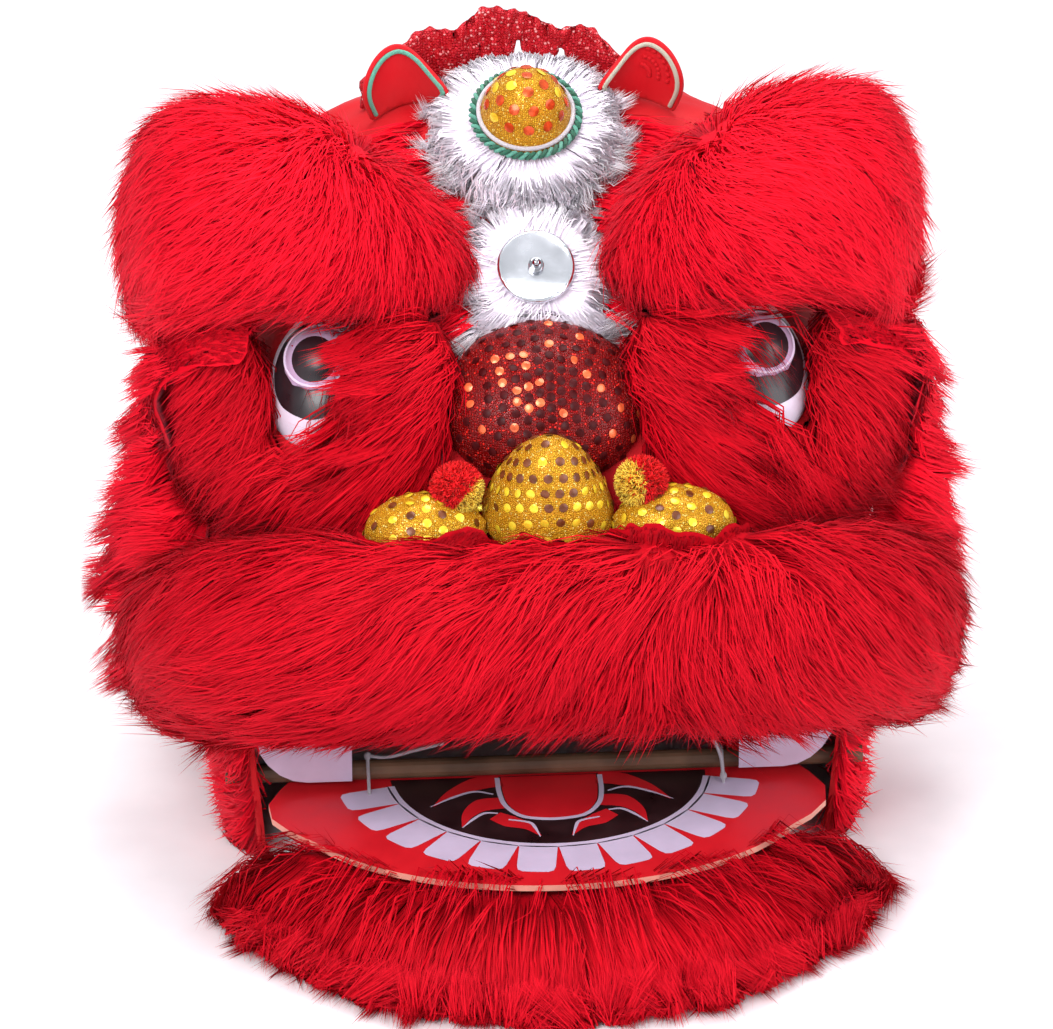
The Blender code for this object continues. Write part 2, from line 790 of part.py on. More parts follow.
def make_beard():
    """A fan of locks from under the board's front edge out to the floor."""
    chance = np.random.default_rng(11)
    middle_y = bar_y - 0.2 * jaw_reach - 0.29 * jaw_reach
    edge = jaw_outline(720)
    rows = 2 * beard_locks + 1
    rings = []
    for i in range(rows):
        crest = i % 2
        angle = math.radians(-2 + 184 * i / (rows - 1))
        x_dir = math.cos(angle)
        y_dir = -math.sin(angle)
        ray = max(
            (x * x_dir + (bar_y - f - middle_y) * y_dir)
            for x, f in edge
            if abs(x * y_dir - (bar_y - f - middle_y) * x_dir) < 0.02 * jaw_reach
        )
        tip_out = 1 / math.hypot(x_dir / beard_half_width, y_dir / beard_spread)
        tip_out = max(tip_out, ray + 0.16 * jaw_reach)
        length = (tip_out - ray) * (chance.uniform(0.90, 1.0) if crest else 0.80)
        if i == rows // 2:
            length = tip_out - ray
        lift = beard_lock_lift if crest else -0.5 * beard_lock_lift
        base = board_bottom - fit_gap
        section = (
            (ray - beard_root, base),
            (ray - 0.1 * beard_root, base),
            (ray + 0.10 * length, base - 0.10 * base + lift),
            (ray + 0.45 * length, 0.66 * base + lift),
            (ray + 0.80 * length, 0.30 * base + lift),
            (ray + length, 0.05 * base),
            (ray + 0.75 * length, 0.0),
            (ray + 0.20 * length, 0.0 if crest else 0.04 * base),
            (ray - 0.75 * beard_root, 0.45 * base),
        )
        rings.append([(out * x_dir, middle_y + out * y_dir, z) for out, z in section])
    return add_piece("beard_fur", loft(rings), (0, bar_y, bar_height))


def make_eye(name, side):
    """The white plate of an eye, an almond standing on end, and its domed eyeball."""
    seat, out = seat_on_shell(side * eye_spacing / 2, eye_height)
    turn = out.to_track_quat("Z", "Y").to_matrix().to_4x4()
    bm = bmesh.new()
    bmesh.ops.create_uvsphere(bm, u_segments=18, v_segments=8, radius=1)
    for vert in bm.verts:
        x, y, z = vert.co
        narrow = 1 - 0.35 * max(y, 0) ** 2
        vert.co = (x * eye_half_width * narrow, y * eye_half_height, z * 2 * eye_crown)
    low = Vector((0, 0, -eye_crown / 2))
    cut = bmesh.ops.bisect_plane(
        bm, geom=bm.verts[:] + bm.edges[:] + bm.faces[:], plane_co=low, plane_no=(0, 0, 1), clear_inner=True
    )
    rim = [item for item in cut["geom_cut"] if isinstance(item, bmesh.types.BMEdge)]
    bmesh.ops.contextual_create(bm, geom=rim)
    sink = Matrix.Translation(seat - out * eye_sink)
    bmesh.ops.transform(bm, matrix=sink @ turn, verts=bm.verts)
    plate_piece = add_piece("eye_plate_" + name, mesh_of(bm), seat)
    fit(plate_piece)
    radius = eyeball_diameter / 2
    centre = seat + out * eyeball_out + Vector((0, 0, eyeball_rise))
    mesh = ball(centre, (radius, radius, radius * eyeball_flatness), turn, 12, 7)
    eyeball = add_piece("eyeball_" + name, mesh, centre)
    fit(eyeball, "eye_plate_" + name)


def make_nose():
    """Sequin bridge, gold tip, two nostrils and the pompoms that stand on them."""
    seat, out = seat_on_shell(0, bridge_up * head_height)
    turn = out.to_track_quat("Z", "Y").to_matrix().to_4x4()
    mesh = ball(seat, (bridge_half_width, bridge_half_length, bridge_thickness), turn, 16, 8)
    fit(add_piece("nose_bridge", mesh, seat))
    foot = Vector((0, front_y + nose_tip_back, nose_tip_foot))
    lean = Vector((0, -nose_tip_lean, 1)).normalized()
    mesh = turned(dome_profile, nose_tip_diameter / 2, nose_tip_height, foot, lean, 14)
    fit(add_piece("nose_tip", mesh, foot), "nose_bridge")
    for name, side in sides.items():
        place = Vector((side * nostril_half_spacing, front_y, nostril_height))
        mesh = ball(place, [share * nostril_half_width for share in nostril_shape], None, 12, 7)
        fit(add_piece("nostril_" + name, mesh, place), "nose_tip", "nose_bridge")
        make_pompom(name, side)


def make_pompom(name, side):
    """A small ball of short locks."""
    radius = pompom_diameter / 2
    place = Vector((side * pompom_half_spacing, front_y + pompom_back, pompom_height))
    bm = bmesh.new()
    bmesh.ops.create_uvsphere(bm, u_segments=12, v_segments=7, radius=radius)
    bm.verts.ensure_lookup_table()
    for i, vert in enumerate(bm.verts):
        vert.co = vert.co * (1.06 if i % 2 else 0.95) + place
    pompom = add_piece("pompom_" + name, mesh_of(bm), place)
    fit(pompom, "nostril_" + name, "nose_tip", "nose_bridge")


def make_mirror():
    seat, out = seat_on_shell(0, mirror_up * head_height)
    seat_radius = 0.58 * mirror_diameter
    mesh = fur_pad(
        seat, out, mirror_fur_radius, seat_radius, mirror_pad_height, mirror_pad_locks, mirror_pad_depth, 5
    )
    fit(add_piece("mirror_fur", mesh, seat), "nose_bridge")
    foot = seat + out * (mirror_pad_height + fit_gap)
    height = 0.1 * mirror_diameter
    add_piece("mirror_disc", turned(mirror_profile, mirror_diameter / 2, height, foot, out, 20), foot)
    top = foot + out * (mirror_profile[0][1] * height + fit_gap)
    radius = mirror_knob_diameter / 2
    add_piece("mirror_knob", turned(knob_profile, radius, 1.8 * radius, top, out, 10), top)


def make_horn():
    seat, out = seat_on_shell(0, horn_up * head_height)
    radius = horn_diameter / 2
    mesh = fur_pad(
        seat, out, horn_fur_radius, 1.3 * radius, horn_pad_height, horn_pad_locks, horn_pad_depth, 8
    )
    fit(add_piece("horn_fur", mesh, seat), "mirror_fur")
    foot = seat + out * (horn_pad_height + fit_gap)
    add_piece("horn", turned(horn_profile, radius, horn_height, foot, out, 16), foot)
    turn = out.to_track_quat("Z", "Y").to_matrix().to_4x4()
    place = Matrix.Translation(foot + out * trim_diameter / 2) @ turn
    reach = radius + trim_diameter / 2 + fit_gap
    angles = [2 * math.pi * i / 16 for i in range(16)]
    ring = [place @ Vector((reach * math.cos(angle), reach * math.sin(angle), 0)) for angle in angles]
    add_piece("horn_trim", tube(ring, trim_diameter, cyclic=True), foot)


def make_ear(name, side):
    """A small cupped ear of cloth, open to the front, standing on the shell."""
    base_y = front_y + ear_back
    base = shell_top(side * ear_half_spacing, base_y) - ear_height / 4
    bm = bmesh.new()
    bmesh.ops.create_grid(bm, x_segments=6, y_segments=3, size=1)
    for vert in bm.verts:
        u = vert.co.x
        v = (vert.co.y + 1) / 2
        half = ear_width / 2 * math.sqrt(1 - (1.15 * v - 0.35) ** 2)
        x = side * (ear_half_spacing + v * ear_height / 4) + u * half
        y = base_y - half * u**2 / 2 + ear_height / 4 * (v - 0.7) ** 2
        z = base + v * 1.25 * ear_height * (1 - 0.22 * u**2)
        vert.co = (x, y, z)
    mesh = thickened(mesh_of(bm), ear_wall)
    fit(add_piece("ear_" + name, mesh, (side * ear_half_spacing, base_y, base)), "horn_fur")


def make_crest():
    """A gathered strip of cloth that stands in an arc behind the horn."""
    bm = bmesh.new()
    bmesh.ops.create_grid(bm, x_segments=4 * crest_waves, y_segments=1, size=1)
    for vert in bm.verts:
        u = vert.co.x
        v = (vert.co.y + 1) / 2
        x = crest_middle + crest_half_width * u
        y = front_y + crest_back - 0.05 * head_depth * u**2
        ground = shell_top(x, y)
        wave = math.sin(math.pi * crest_waves * (u + 1))
        height = crest_height * (1 - 0.55 * u**2) * (1 + 0.14 * math.sin(9 * u + 1))
        y += crest_wave_depth * wave * (0.4 + 0.6 * v)
        vert.co = (x, y, ground - crest_root + v * (height + crest_root))
    mesh = thickened(mesh_of(bm), crest_wall)
    crest = add_piece("crest_ruffle", mesh, (crest_middle, front_y + crest_back, head_height))
    fit(crest, "horn_fur", "horn", "ear_left", "ear_right")


def make_brow(name, side):
    """A large rounded roll of fur over an eye."""
    stations = []
    for row in brow_stations:
        x = brow_inner + row.side * (brow_outer[name] - brow_inner)
        y = front_y + brow_back + row.back * brow_radius
        z = brow_height + row.height * brow_radius
        radii = (row.thick * brow_radius, row.upper * brow_radius, row.lower * brow_radius)
        stations.append((row.along, x, y, z, *radii))
    mesh = on_side(fur_roll(stations, (0, -1, 0), (1, 0, 0), brow_locks, 10, 0.045, seed=21 + side), side)
    middle = (side * (brow_inner + brow_outer[name]) / 2, front_y + brow_back, brow_height)
    brow = add_piece("brow_fur_" + name, mesh, middle)
    fit(
        brow, "mirror_fur", "horn_fur", "ear_" + name, "crest_ruffle", "nose_bridge",
        "eye_plate_" + name, "eyeball_" + name,
    )


def make_lip():
    """The long roll of fur over the mouth, which turns back at each corner."""
    stations = []
    for row in lip_stations:
        x = row.side * lip_half_width
        y = front_y - lip_forward + row.back * lip_radius
        z = row.height * lip_height
        radii = (row.thick * lip_radius, row.upper * lip_radius, row.lower * lip_radius)
        stations.append((row.along, x, y, z, *radii))
    mesh = fur_roll(stations, None, (1, 1, 0), lip_locks, 10, 0.05, back=0.45, seed=31)
    lip = add_piece("lip_fur", mesh, (0, front_y, lip_height))
    fit(lip, "nose_bridge", "nose_tip", "nostril_left", "nostril_right", "mouth_bar")


def make_cheek(name, side):
    """Fur that goes round an eye from the nose bridge, under it and up the temple."""
    stations = []
    middle, _ = seat_on_shell(side * eye_spacing / 2, eye_height)
    for row in cheek_stations:
        x = eye_spacing / 2 + row.side * eye_half_width
        y = middle.y - 0.4 * cheek_radius + row.back * cheek_radius
        z = eye_height + row.height * eye_half_height
        radii = (row.thick * cheek_radius, row.upper * cheek_radius, row.lower * cheek_radius)
        stations.append((row.along, x, y, z, *radii))
    mesh = fur_roll(stations, (0, -1, 0), (1, 0, 1), cheek_locks, 8, 0.05, back=0.6, seed=41 + side)
    mesh = on_side(mesh, side)
    cheek = add_piece("cheek_fur_" + name, mesh, middle)
    fit(
        cheek, "lip_fur", "brow_fur_" + name, "eye_plate_" + name, "eyeball_" + name,
        "nose_bridge", "nose_tip", "nostril_" + name, "pompom_" + name,
    )


def make_mane(name, side):
    """Long fur that stands out from the side of the head."""
    stations = []
    for row in mane_stations:
        x = row.side * mane_half_width
        y = front_y + row.back * head_depth
        z = row.height * head_height
        radii = (row.thick * mane_radius, row.upper * mane_radius, row.lower * mane_radius)
        stations.append((row.along, x, y, z, *radii))
    spike = mane_spike[name] / mane_radius
    mesh = fur_roll(stations, (1, 0, 0), (0, 0, 1), mane_locks, 8, 0.05, 0.6, spike, 0.3, 51 + side)
    mesh = on_side(mesh, side)
    mane = add_piece("side_mane_" + name, mesh, (side * mane_half_width, front_y, head_height / 2))
    fit(mane, "lip_fur", "brow_fur_" + name, "cheek_fur_" + name, "mouth_bar")


def hang_from(empty, *pieces):
    for piece in pieces:
        piece.parent = empty
        piece.matrix_parent_inverse = empty.matrix_world.inverted()


clear_scene()
head_pieces = new_collection("lion_dance_head")
cutters = new_collection("cutters")
sides = {"left": -1, "right": 1}
forms = {}

make_shell()
make_bar()
jaw_hinge = bpy.data.objects.new("jaw_hinge", None)
jaw_hinge.location = (0, bar_y, bar_height)
head_pieces.objects.link(jaw_hinge)
jaw_pieces = [make_jaw_board(), make_beard()]
jaw_pieces += [make_tie("jaw_tie_" + name, side, tie_tails[name]) for name, side in sides.items()]
bpy.context.view_layer.update()
hang_from(jaw_hinge, *jaw_pieces)
for name, side in sides.items():
    make_tooth(name, side)
    make_eye(name, side)
make_nose()
make_mirror()
make_horn()
for name, side in sides.items():
    make_ear(name, side)
make_crest()
for name, side in sides.items():
    make_brow(name, side)
make_lip()
for name, side in sides.items():
    make_cheek(name, side)
    make_mane(name, side)
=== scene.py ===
import json
import math

import bmesh
import bpy
import numpy as np
from mathutils import Matrix, Vector
from mathutils.bvhtree import BVHTree
from mathutils.kdtree import KDTree

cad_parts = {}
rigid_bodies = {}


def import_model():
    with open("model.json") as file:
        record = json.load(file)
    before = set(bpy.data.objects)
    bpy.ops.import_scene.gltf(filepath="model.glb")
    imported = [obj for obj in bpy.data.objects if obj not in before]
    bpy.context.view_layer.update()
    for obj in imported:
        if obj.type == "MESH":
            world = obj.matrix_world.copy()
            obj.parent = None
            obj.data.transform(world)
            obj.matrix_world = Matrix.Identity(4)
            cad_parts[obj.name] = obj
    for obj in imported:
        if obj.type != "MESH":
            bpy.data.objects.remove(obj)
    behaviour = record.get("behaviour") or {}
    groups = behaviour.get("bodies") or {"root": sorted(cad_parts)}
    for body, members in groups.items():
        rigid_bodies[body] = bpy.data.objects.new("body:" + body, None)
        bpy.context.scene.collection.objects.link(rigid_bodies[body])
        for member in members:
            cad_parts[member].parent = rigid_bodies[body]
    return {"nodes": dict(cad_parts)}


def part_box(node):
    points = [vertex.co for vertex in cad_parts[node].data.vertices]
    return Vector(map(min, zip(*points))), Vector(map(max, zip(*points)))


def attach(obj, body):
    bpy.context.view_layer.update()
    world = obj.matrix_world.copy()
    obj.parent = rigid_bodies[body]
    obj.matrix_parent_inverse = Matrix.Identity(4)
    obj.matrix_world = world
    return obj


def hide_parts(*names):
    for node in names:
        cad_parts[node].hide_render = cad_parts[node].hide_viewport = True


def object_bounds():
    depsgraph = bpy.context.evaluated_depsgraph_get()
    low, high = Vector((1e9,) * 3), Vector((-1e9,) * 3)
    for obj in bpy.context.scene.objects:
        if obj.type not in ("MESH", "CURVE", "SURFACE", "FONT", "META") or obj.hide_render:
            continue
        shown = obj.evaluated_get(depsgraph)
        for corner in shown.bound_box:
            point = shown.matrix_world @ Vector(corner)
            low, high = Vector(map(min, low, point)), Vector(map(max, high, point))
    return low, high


for item in list(bpy.data.objects):
    bpy.data.objects.remove(item)
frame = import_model()
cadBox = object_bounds()
nodes = frame["nodes"]
sides = {"left": -1, "right": 1}


def arraysOf(mesh):
    mesh.calc_loop_triangles()
    points = np.empty(len(mesh.vertices) * 3, np.float32)
    mesh.vertices.foreach_get("co", points)
    faces = np.empty(len(mesh.loop_triangles) * 3, np.int32)
    mesh.loop_triangles.foreach_get("vertices", faces)
    return points.reshape(-1, 3).astype(float), faces.reshape(-1, 3)


def vertexNormals(points, faces, passes=0):
    corners = points[faces]
    facing = np.cross(corners[:, 1] - corners[:, 0], corners[:, 2] - corners[:, 0])
    normals = np.zeros_like(points)
    for i in range(3):
        np.add.at(normals, faces[:, i], facing)
    normals = unit(normals)
    for _ in range(passes):  # evens the normals out over the neighbours
        evened = normals.copy()
        for i in range(3):
            np.add.at(evened, faces[:, i], normals[faces[:, (i + 1) % 3]])
            np.add.at(evened, faces[:, i], normals[faces[:, (i + 2) % 3]])
        normals = unit(evened)
    return normals


def unit(vectors):
    return vectors / np.maximum(np.linalg.norm(vectors, axis=-1, keepdims=True), 1e-12)


def smoothCopy(node, levels, crease=60):
    # a welded copy of a node's mesh with its sharp edges kept and the rest rounded off
    mesh = nodes[node].data.copy()
    bm = bmesh.new()
    bm.from_mesh(mesh)
    bmesh.ops.remove_doubles(bm, verts=bm.verts, dist=2e-5)
    sharp = bm.edges.layers.float.new("crease_edge")
    for edge in bm.edges:
        if len(edge.link_faces) != 2 or edge.calc_face_angle(0) > math.radians(crease):
            edge[sharp] = 1.0
    bm.to_mesh(mesh)
    bm.free()
    mesh.materials.clear()
    obj = bpy.data.objects.new("working", mesh)
    bpy.context.scene.collection.objects.link(obj)
    if levels:
        rounding = obj.modifiers.new("rounding", "SUBSURF")
        rounding.levels = levels
        rounding.render_levels = levels
    worked = obj.evaluated_get(bpy.context.evaluated_depsgraph_get())
    shaped = bpy.data.meshes.new_from_object(worked)
    bpy.data.objects.remove(obj)
    return shaped


def addPiece(name, mesh, look, body, stands="", flat=False):
    # names the mesh, gives it its finish, and fastens it to the head or the jaw
    obj = bpy.data.objects.new(name, mesh)
    bpy.context.scene.collection.objects.link(obj)
    mesh.materials.clear()
    mesh.materials.append(look)
    if not flat:
        mesh.shade_smooth()
    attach(obj, body)
    if stands:
        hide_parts(*stands.split())
    return obj


def meshFrom(points, faces):
    mesh = bpy.data.meshes.new("shape")
    mesh.from_pydata([tuple(p) for p in points], [], [tuple(int(i) for i in f) for f in faces])
    mesh.update()
    return mesh


def trianglesMesh(points, faces, corners=None, normals=None):
    # many triangles at once; corners holds a place on the colour map for each corner
    mesh = bpy.data.meshes.new("shape")
    count = len(faces)
    mesh.vertices.add(len(points))
    mesh.vertices.foreach_set("co", np.ascontiguousarray(points, np.float32).ravel())
    mesh.loops.add(count * 3)
    mesh.loops.foreach_set("vertex_index", np.ascontiguousarray(faces, np.int32).ravel())
    mesh.polygons.add(count)
    mesh.polygons.foreach_set("loop_start", np.arange(0, count * 3, 3, dtype=np.int32))
    mesh.polygons.foreach_set("loop_total", np.full(count, 3, np.int32))
    mesh.update(calc_edges=True)
    if corners is not None:
        for name in ("strand", "OFBake"):
            layer = mesh.uv_layers.new(name=name)
            layer.data.foreach_set("uv", np.ascontiguousarray(corners, np.float32).ravel())
    mesh.polygons.foreach_set("use_smooth", np.ones(count, bool))
    if normals is not None:
        mesh.normals_split_custom_set_from_vertices(np.ascontiguousarray(normals, np.float32))
    return mesh


def tubeAlong(path, radius, around=8, closed=False):
    # a round tube through the points, its radius one number or one for each point
    points = np.array(path, float)
    count = len(points)
    radii = np.broadcast_to(np.asarray(radius, float), (count,))
    if closed:
        ahead = unit(np.roll(points, -1, 0) - np.roll(points, 1, 0))
    else:
        ahead = unit(np.gradient(points, axis=0))
    up = unit(np.cross(ahead, (0.31, 0.17, 0.93)))
    over = np.cross(ahead, up)
    turn = np.linspace(0, 2 * math.pi, around, endpoint=False)
    ring = up[:, None] * np.cos(turn)[None, :, None] + over[:, None] * np.sin(turn)[None, :, None]
    verts = (points[:, None] + ring * radii[:, None, None]).reshape(-1, 3)
    faces = []
    for i in range(count if closed else count - 1):
        j = (i + 1) % count
        for k in range(around):
            m = (k + 1) % around
            faces.append((i * around + k, i * around + m, j * around + m, j * around + k))
    if not closed:
        faces.append(tuple(range(around))[::-1])
        faces.append(tuple((count - 1) * around + k for k in range(around)))
    return verts, faces


def joined(parts):
    verts, faces, start = [], [], 0
    for points, polygons in parts:
        verts.extend(tuple(p) for p in points)
        faces.extend(tuple(int(i) + start for i in polygon) for polygon in polygons)
        start += len(points)
    return meshFrom(verts, faces)


def curveThrough(points, steps):
    # a smooth line through the points
    points = np.array(points, float)
    ends = np.vstack([2 * points[0] - points[1], points, 2 * points[-1] - points[-2]])
    line = []
    for i in range(1, len(ends) - 2):
        a, b, c, d = ends[i - 1 : i + 3]
        for t in np.linspace(0, 1, steps, endpoint=False):
            level = 2 * b + (c - a) * t + (2 * a - 5 * b + 4 * c - d) * t**2
            line.append(0.5 * (level + (3 * b - a - 3 * c + d) * t**3))
    line.append(points[-1])
    return np.array(line)


def newGroup(name, inputs, outputs):
    # a colour input's value is a tuple, and the outputs other than Color are numbers
    tree = bpy.data.node_groups.new(name, "ShaderNodeTree")
    for label, value in inputs.items():
        kind = "NodeSocketColor" if isinstance(value, tuple) else "NodeSocketFloat"
        socket = tree.interface.new_socket(name=label, in_out="INPUT", socket_type=kind)
        socket.default_value = value
    for label in outputs:
        kind = "NodeSocketColor" if label == "Color" else "NodeSocketFloat"
        tree.interface.new_socket(name=label, in_out="OUTPUT", socket_type=kind)
    start = tree.nodes.new("NodeGroupInput")
    end = tree.nodes.new("NodeGroupOutput")
    return tree, start.outputs, end.inputs


def addNode(tree, kind, settings=None, **inputs):
    node = tree.nodes.new("ShaderNode" + kind)
    for key, value in (settings or {}).items():
        setattr(node, key, value)
    for key, value in inputs.items():
        socket = node.inputs[int(key[1:]) if key[0] == "i" and key[1:].isdigit() else key.replace("_", " ")]
        if isinstance(value, bpy.types.NodeSocket):
            tree.links.new(value, socket)
        else:
            socket.default_value = value
    return node


def mathNode(tree, operation, first, second=0.5, clamp=False):
    return addNode(tree, "Math", {"operation": operation, "use_clamp": clamp}, i0=first, i1=second).outputs[0]


def mixColour(tree, share, first, second, blend="MIX"):
    node = addNode(tree, "Mix", {"data_type": "RGBA", "blend_type": blend}, i0=share, i6=first, i7=second)
    return node.outputs[2]


def ramp(tree, value, stops):
    node = addNode(tree, "ValToRGB", None, Fac=value)
    bar = node.color_ramp.elements
    while len(bar) > 1:
        bar.remove(bar[-1])
    bar[0].position, bar[0].color = stops[0][0], (*stops[0][1], 1)
    for place, colour in stops[1:]:
        bar.new(place).color = (*colour, 1)
    return node.outputs["Color"]


def spread(tree, value, low, high, to=(0.0, 1.0)):
    node = addNode(tree, "MapRange", None, i0=value, i1=low, i2=high, i3=to[0], i4=to[1])
    return node.outputs[0]


def makeStrandColour():
    # colour of a hair from its root to its tip, darker or lighter from hair to hair; the dark root is painted
    # shade and the bright tip painted highlight
    tree, given, out = newGroup(
        "strandColour",
        {"Root": (0.1, 0, 0, 1), "Middle": (0.5, 0, 0, 1), "Tip": (0.9, 0, 0, 1), "Dark": 0.5},
        ("Color",),
    )
    place = addNode(tree, "UVMap", {"uv_map": "strand"}).outputs[0]
    parts = addNode(tree, "SeparateXYZ", None, Vector=place).outputs
    low = mixColour(tree, spread(tree, parts[1], 0.0, 0.45), given["Root"], given["Middle"])
    full = mixColour(tree, spread(tree, parts[1], 0.4, 1.0), low, given["Tip"])
    shade = spread(tree, parts[0], 0.0, 1.0, (given["Dark"], 1.15))
    grey = addNode(tree, "CombineColor", None, Red=shade, Green=shade, Blue=shade).outputs[0]
    tree.links.new(mixColour(tree, 1.0, full, grey, "MULTIPLY"), out["Color"])
    return tree


def makeWeave():
    # two crossing threads, with patches of slightly worn colour
    tree, given, out = newGroup(
        "clothWeave",
        {"Colour": (0.5, 0, 0, 1), "Threads": 900.0, "Wear": 0.2},
        ("Color", "Roughness", "Height"),
    )
    place = addNode(tree, "TexCoord").outputs["Object"]
    bands = []
    for way in "XZ":
        wave = addNode(
            tree, "TexWave", {"bands_direction": way}, Vector=place, Scale=given["Threads"], Distortion=0.6
        )  # fmt: skip
        bands.append(wave.outputs["Fac"])
    height = mathNode(tree, "MAXIMUM", *bands)
    patches = addNode(tree, "TexNoise", None, Vector=place, Scale=26.0, Detail=4.0).outputs["Fac"]
    worn = mathNode(tree, "MULTIPLY", spread(tree, patches, 0.45, 0.75), given["Wear"])
    gaps = spread(tree, height, 0.2, 0.9, (0.12, 0.0))
    threads = mixColour(tree, gaps, given["Colour"], (0.0, 0.0, 0.0, 1))
    tree.links.new(mixColour(tree, worn, threads, (0.9, 0.55, 0.5, 1)), out["Color"])
    tree.links.new(spread(tree, patches, 0.3, 0.7, (0.5, 0.75)), out["Roughness"])
    tree.links.new(height, out["Height"])
    return tree


def makeSequins():
    # overlapping small sequins: each cell has its own tint and tilt, and a few get the bright Glint colour, a
    # painted highlight
    tree, given, out = newGroup(
        "sequinRows",
        {"Ground": (0.2, 0, 0, 1), "Sequin": (0.5, 0, 0, 1), "Glint": (1, 0.5, 0.3, 1), "Count": 400.0},
        ("Color", "Roughness", "Height"),
    )
    place = addNode(tree, "TexCoord").outputs["Object"]
    cells = addNode(
        tree, "TexVoronoi", {"feature": "F1"}, Vector=place, Scale=given["Count"], Randomness=0.55
    ).outputs  # fmt: skip
    tint = addNode(tree, "SeparateColor", None, Color=cells["Color"]).outputs
    disc = spread(tree, cells["Distance"], 0.62, 0.35)
    shiny = mathNode(tree, "POWER", tint[0], 1.6)
    body = mixColour(tree, spread(tree, shiny, 0.0, 1.0, (0.2, 1.0)), given["Ground"], given["Sequin"])
    # painted highlight: cells past a random mark take the Glint colour
    paintedGlints = mixColour(tree, spread(tree, tint[1], 0.86, 0.93), body, given["Glint"])
    tree.links.new(mixColour(tree, disc, given["Ground"], paintedGlints), out["Color"])
    tree.links.new(spread(tree, tint[2], 0.0, 1.0, (0.22, 0.5)), out["Roughness"])
    dome = mathNode(tree, "MULTIPLY", disc, mathNode(tree, "ADD", tint[2], 0.4))
    tree.links.new(dome, out["Height"])
    return tree


groups = {"strand": makeStrandColour(), "weave": makeWeave(), "sequins": makeSequins()}


def newLook(name):
    look = bpy.data.materials.new(name)
    look.use_nodes = True
    shader = look.node_tree.nodes["Principled BSDF"]
    return look, look.node_tree, shader


def placeGroup(tree, name, **values):
    node = tree.nodes.new("ShaderNodeGroup")
    node.node_tree = groups[name]
    for key, value in values.items():
        node.inputs[key].default_value = value
    return node.outputs


def bumped(tree, shader, height, depth):
    bump = addNode(tree, "Bump", None, Height=height, Distance=depth)
    tree.links.new(bump.outputs["Normal"], shader.inputs["Normal"])


def setShader(shader, values):
    for label, value in values.items():
        shader.inputs[label].default_value = value


def furLook(name, root, middle, tip, dark, sheen, sheenTint):
    look, tree, shader = newLook(name)
    out = placeGroup(tree, "strand", Root=(*root, 1), Middle=(*middle, 1), Tip=(*tip, 1), Dark=dark)
    tree.links.new(out["Color"], shader.inputs["Base Color"])
    setShader(shader, {"Roughness": 0.6, "Specular IOR Level": 0.06, "Sheen Weight": sheen})
    setShader(shader, {"Sheen Roughness": 0.5, "Sheen Tint": (*sheenTint, 1)})
    return look


def clothLook(name, colour, threads=900.0, wear=0.15, depth=0.0002, sheen=0.2):
    look, tree, shader = newLook(name)
    out = placeGroup(tree, "weave", Colour=(*colour, 1), Threads=threads, Wear=wear)
    tree.links.new(out["Color"], shader.inputs["Base Color"])
    tree.links.new(out["Roughness"], shader.inputs["Roughness"])
    bumped(tree, shader, out["Height"], depth)
    setShader(shader, {"Specular IOR Level": 0.2, "Sheen Weight": sheen})
    return look


def sequinLook(name, ground, sequin, glint, count, metallic):
    look, tree, shader = newLook(name)
    # the glint colour is a painted highlight on a few sequins
    colours = {"Ground": (*ground, 1), "Sequin": (*sequin, 1), "Glint": (*glint, 1)}
    out = placeGroup(tree, "sequins", **colours, Count=count)
    tree.links.new(out["Color"], shader.inputs["Base Color"])
    tree.links.new(out["Roughness"], shader.inputs["Roughness"])
    bumped(tree, shader, out["Height"], 0.0006)
    setShader(shader, {"Specular IOR Level": 0.25, "Metallic": metallic})
    return look


def paintLook(name, colour, roughness=0.45, fleck=0.06, scale=60.0, metallic=0.0, shine=0.5):
    # a painted or printed surface, slightly uneven in colour and gloss
    look, tree, shader = newLook(name)
    place = addNode(tree, "TexCoord").outputs["Object"]
    patches = addNode(tree, "TexNoise", None, Vector=place, Scale=scale, Detail=5.0).outputs["Fac"]
    darker = tuple(c * (1 - 2.2 * fleck) for c in colour)
    lighter = tuple(min(c * (1 + fleck) + 0.02 * fleck, 1) for c in colour)
    tree.links.new(ramp(tree, patches, [(0.3, darker), (0.7, lighter)]), shader.inputs["Base Color"])
    uneven = spread(tree, patches, 0.3, 0.7, (roughness - 0.08, roughness + 0.1))
    tree.links.new(uneven, shader.inputs["Roughness"])
    setShader(shader, {"Metallic": metallic, "Specular IOR Level": shine})
    return look


# each fur's colour at root, middle and tip, how dark its darkest hairs are, its sheen and the sheen's tint;
# the darker roots are painted shade, the brighter tips painted highlight
furRed = furLook(
    "redFur", (0.40, 0.001, 0.009), (0.84, 0.003, 0.018), (1.0, 0.012, 0.034), 0.76, 0.08, (1.0, 0.25, 0.35)
)  # fmt: skip
# a darker copy of the red fur: painted shade for the lip, cheeks, beard and eye wisps
furShaded = furLook(
    "shadedRedFur", (0.27, 0.0007, 0.005), (0.57, 0.0018, 0.010), (0.71, 0.006, 0.020),
    0.76, 0.05, (1.0, 0.25, 0.35),
)  # fmt: skip
furWhite = furLook(
    "whiteFur", (0.84, 0.76, 0.86), (0.90, 0.84, 0.94), (1.0, 0.98, 1.0), 0.95, 0.4, (1.0, 0.97, 1.0)
)  # fmt: skip

# what every fur has unless its own dictionary says otherwise; lengths in metres, rise in radians
anyFur = {
    "even": 3, "hug": 1.0, "rise": 0.35, "hold": 0.75, "free": 0.55,
    "ground": 0.0006, "groundUneven": 0.0015, "beyond": 0.012,
}  # fmt: skip
cover = {"shell": 0.006, "neighbour": 0.005, "left": 0.1}


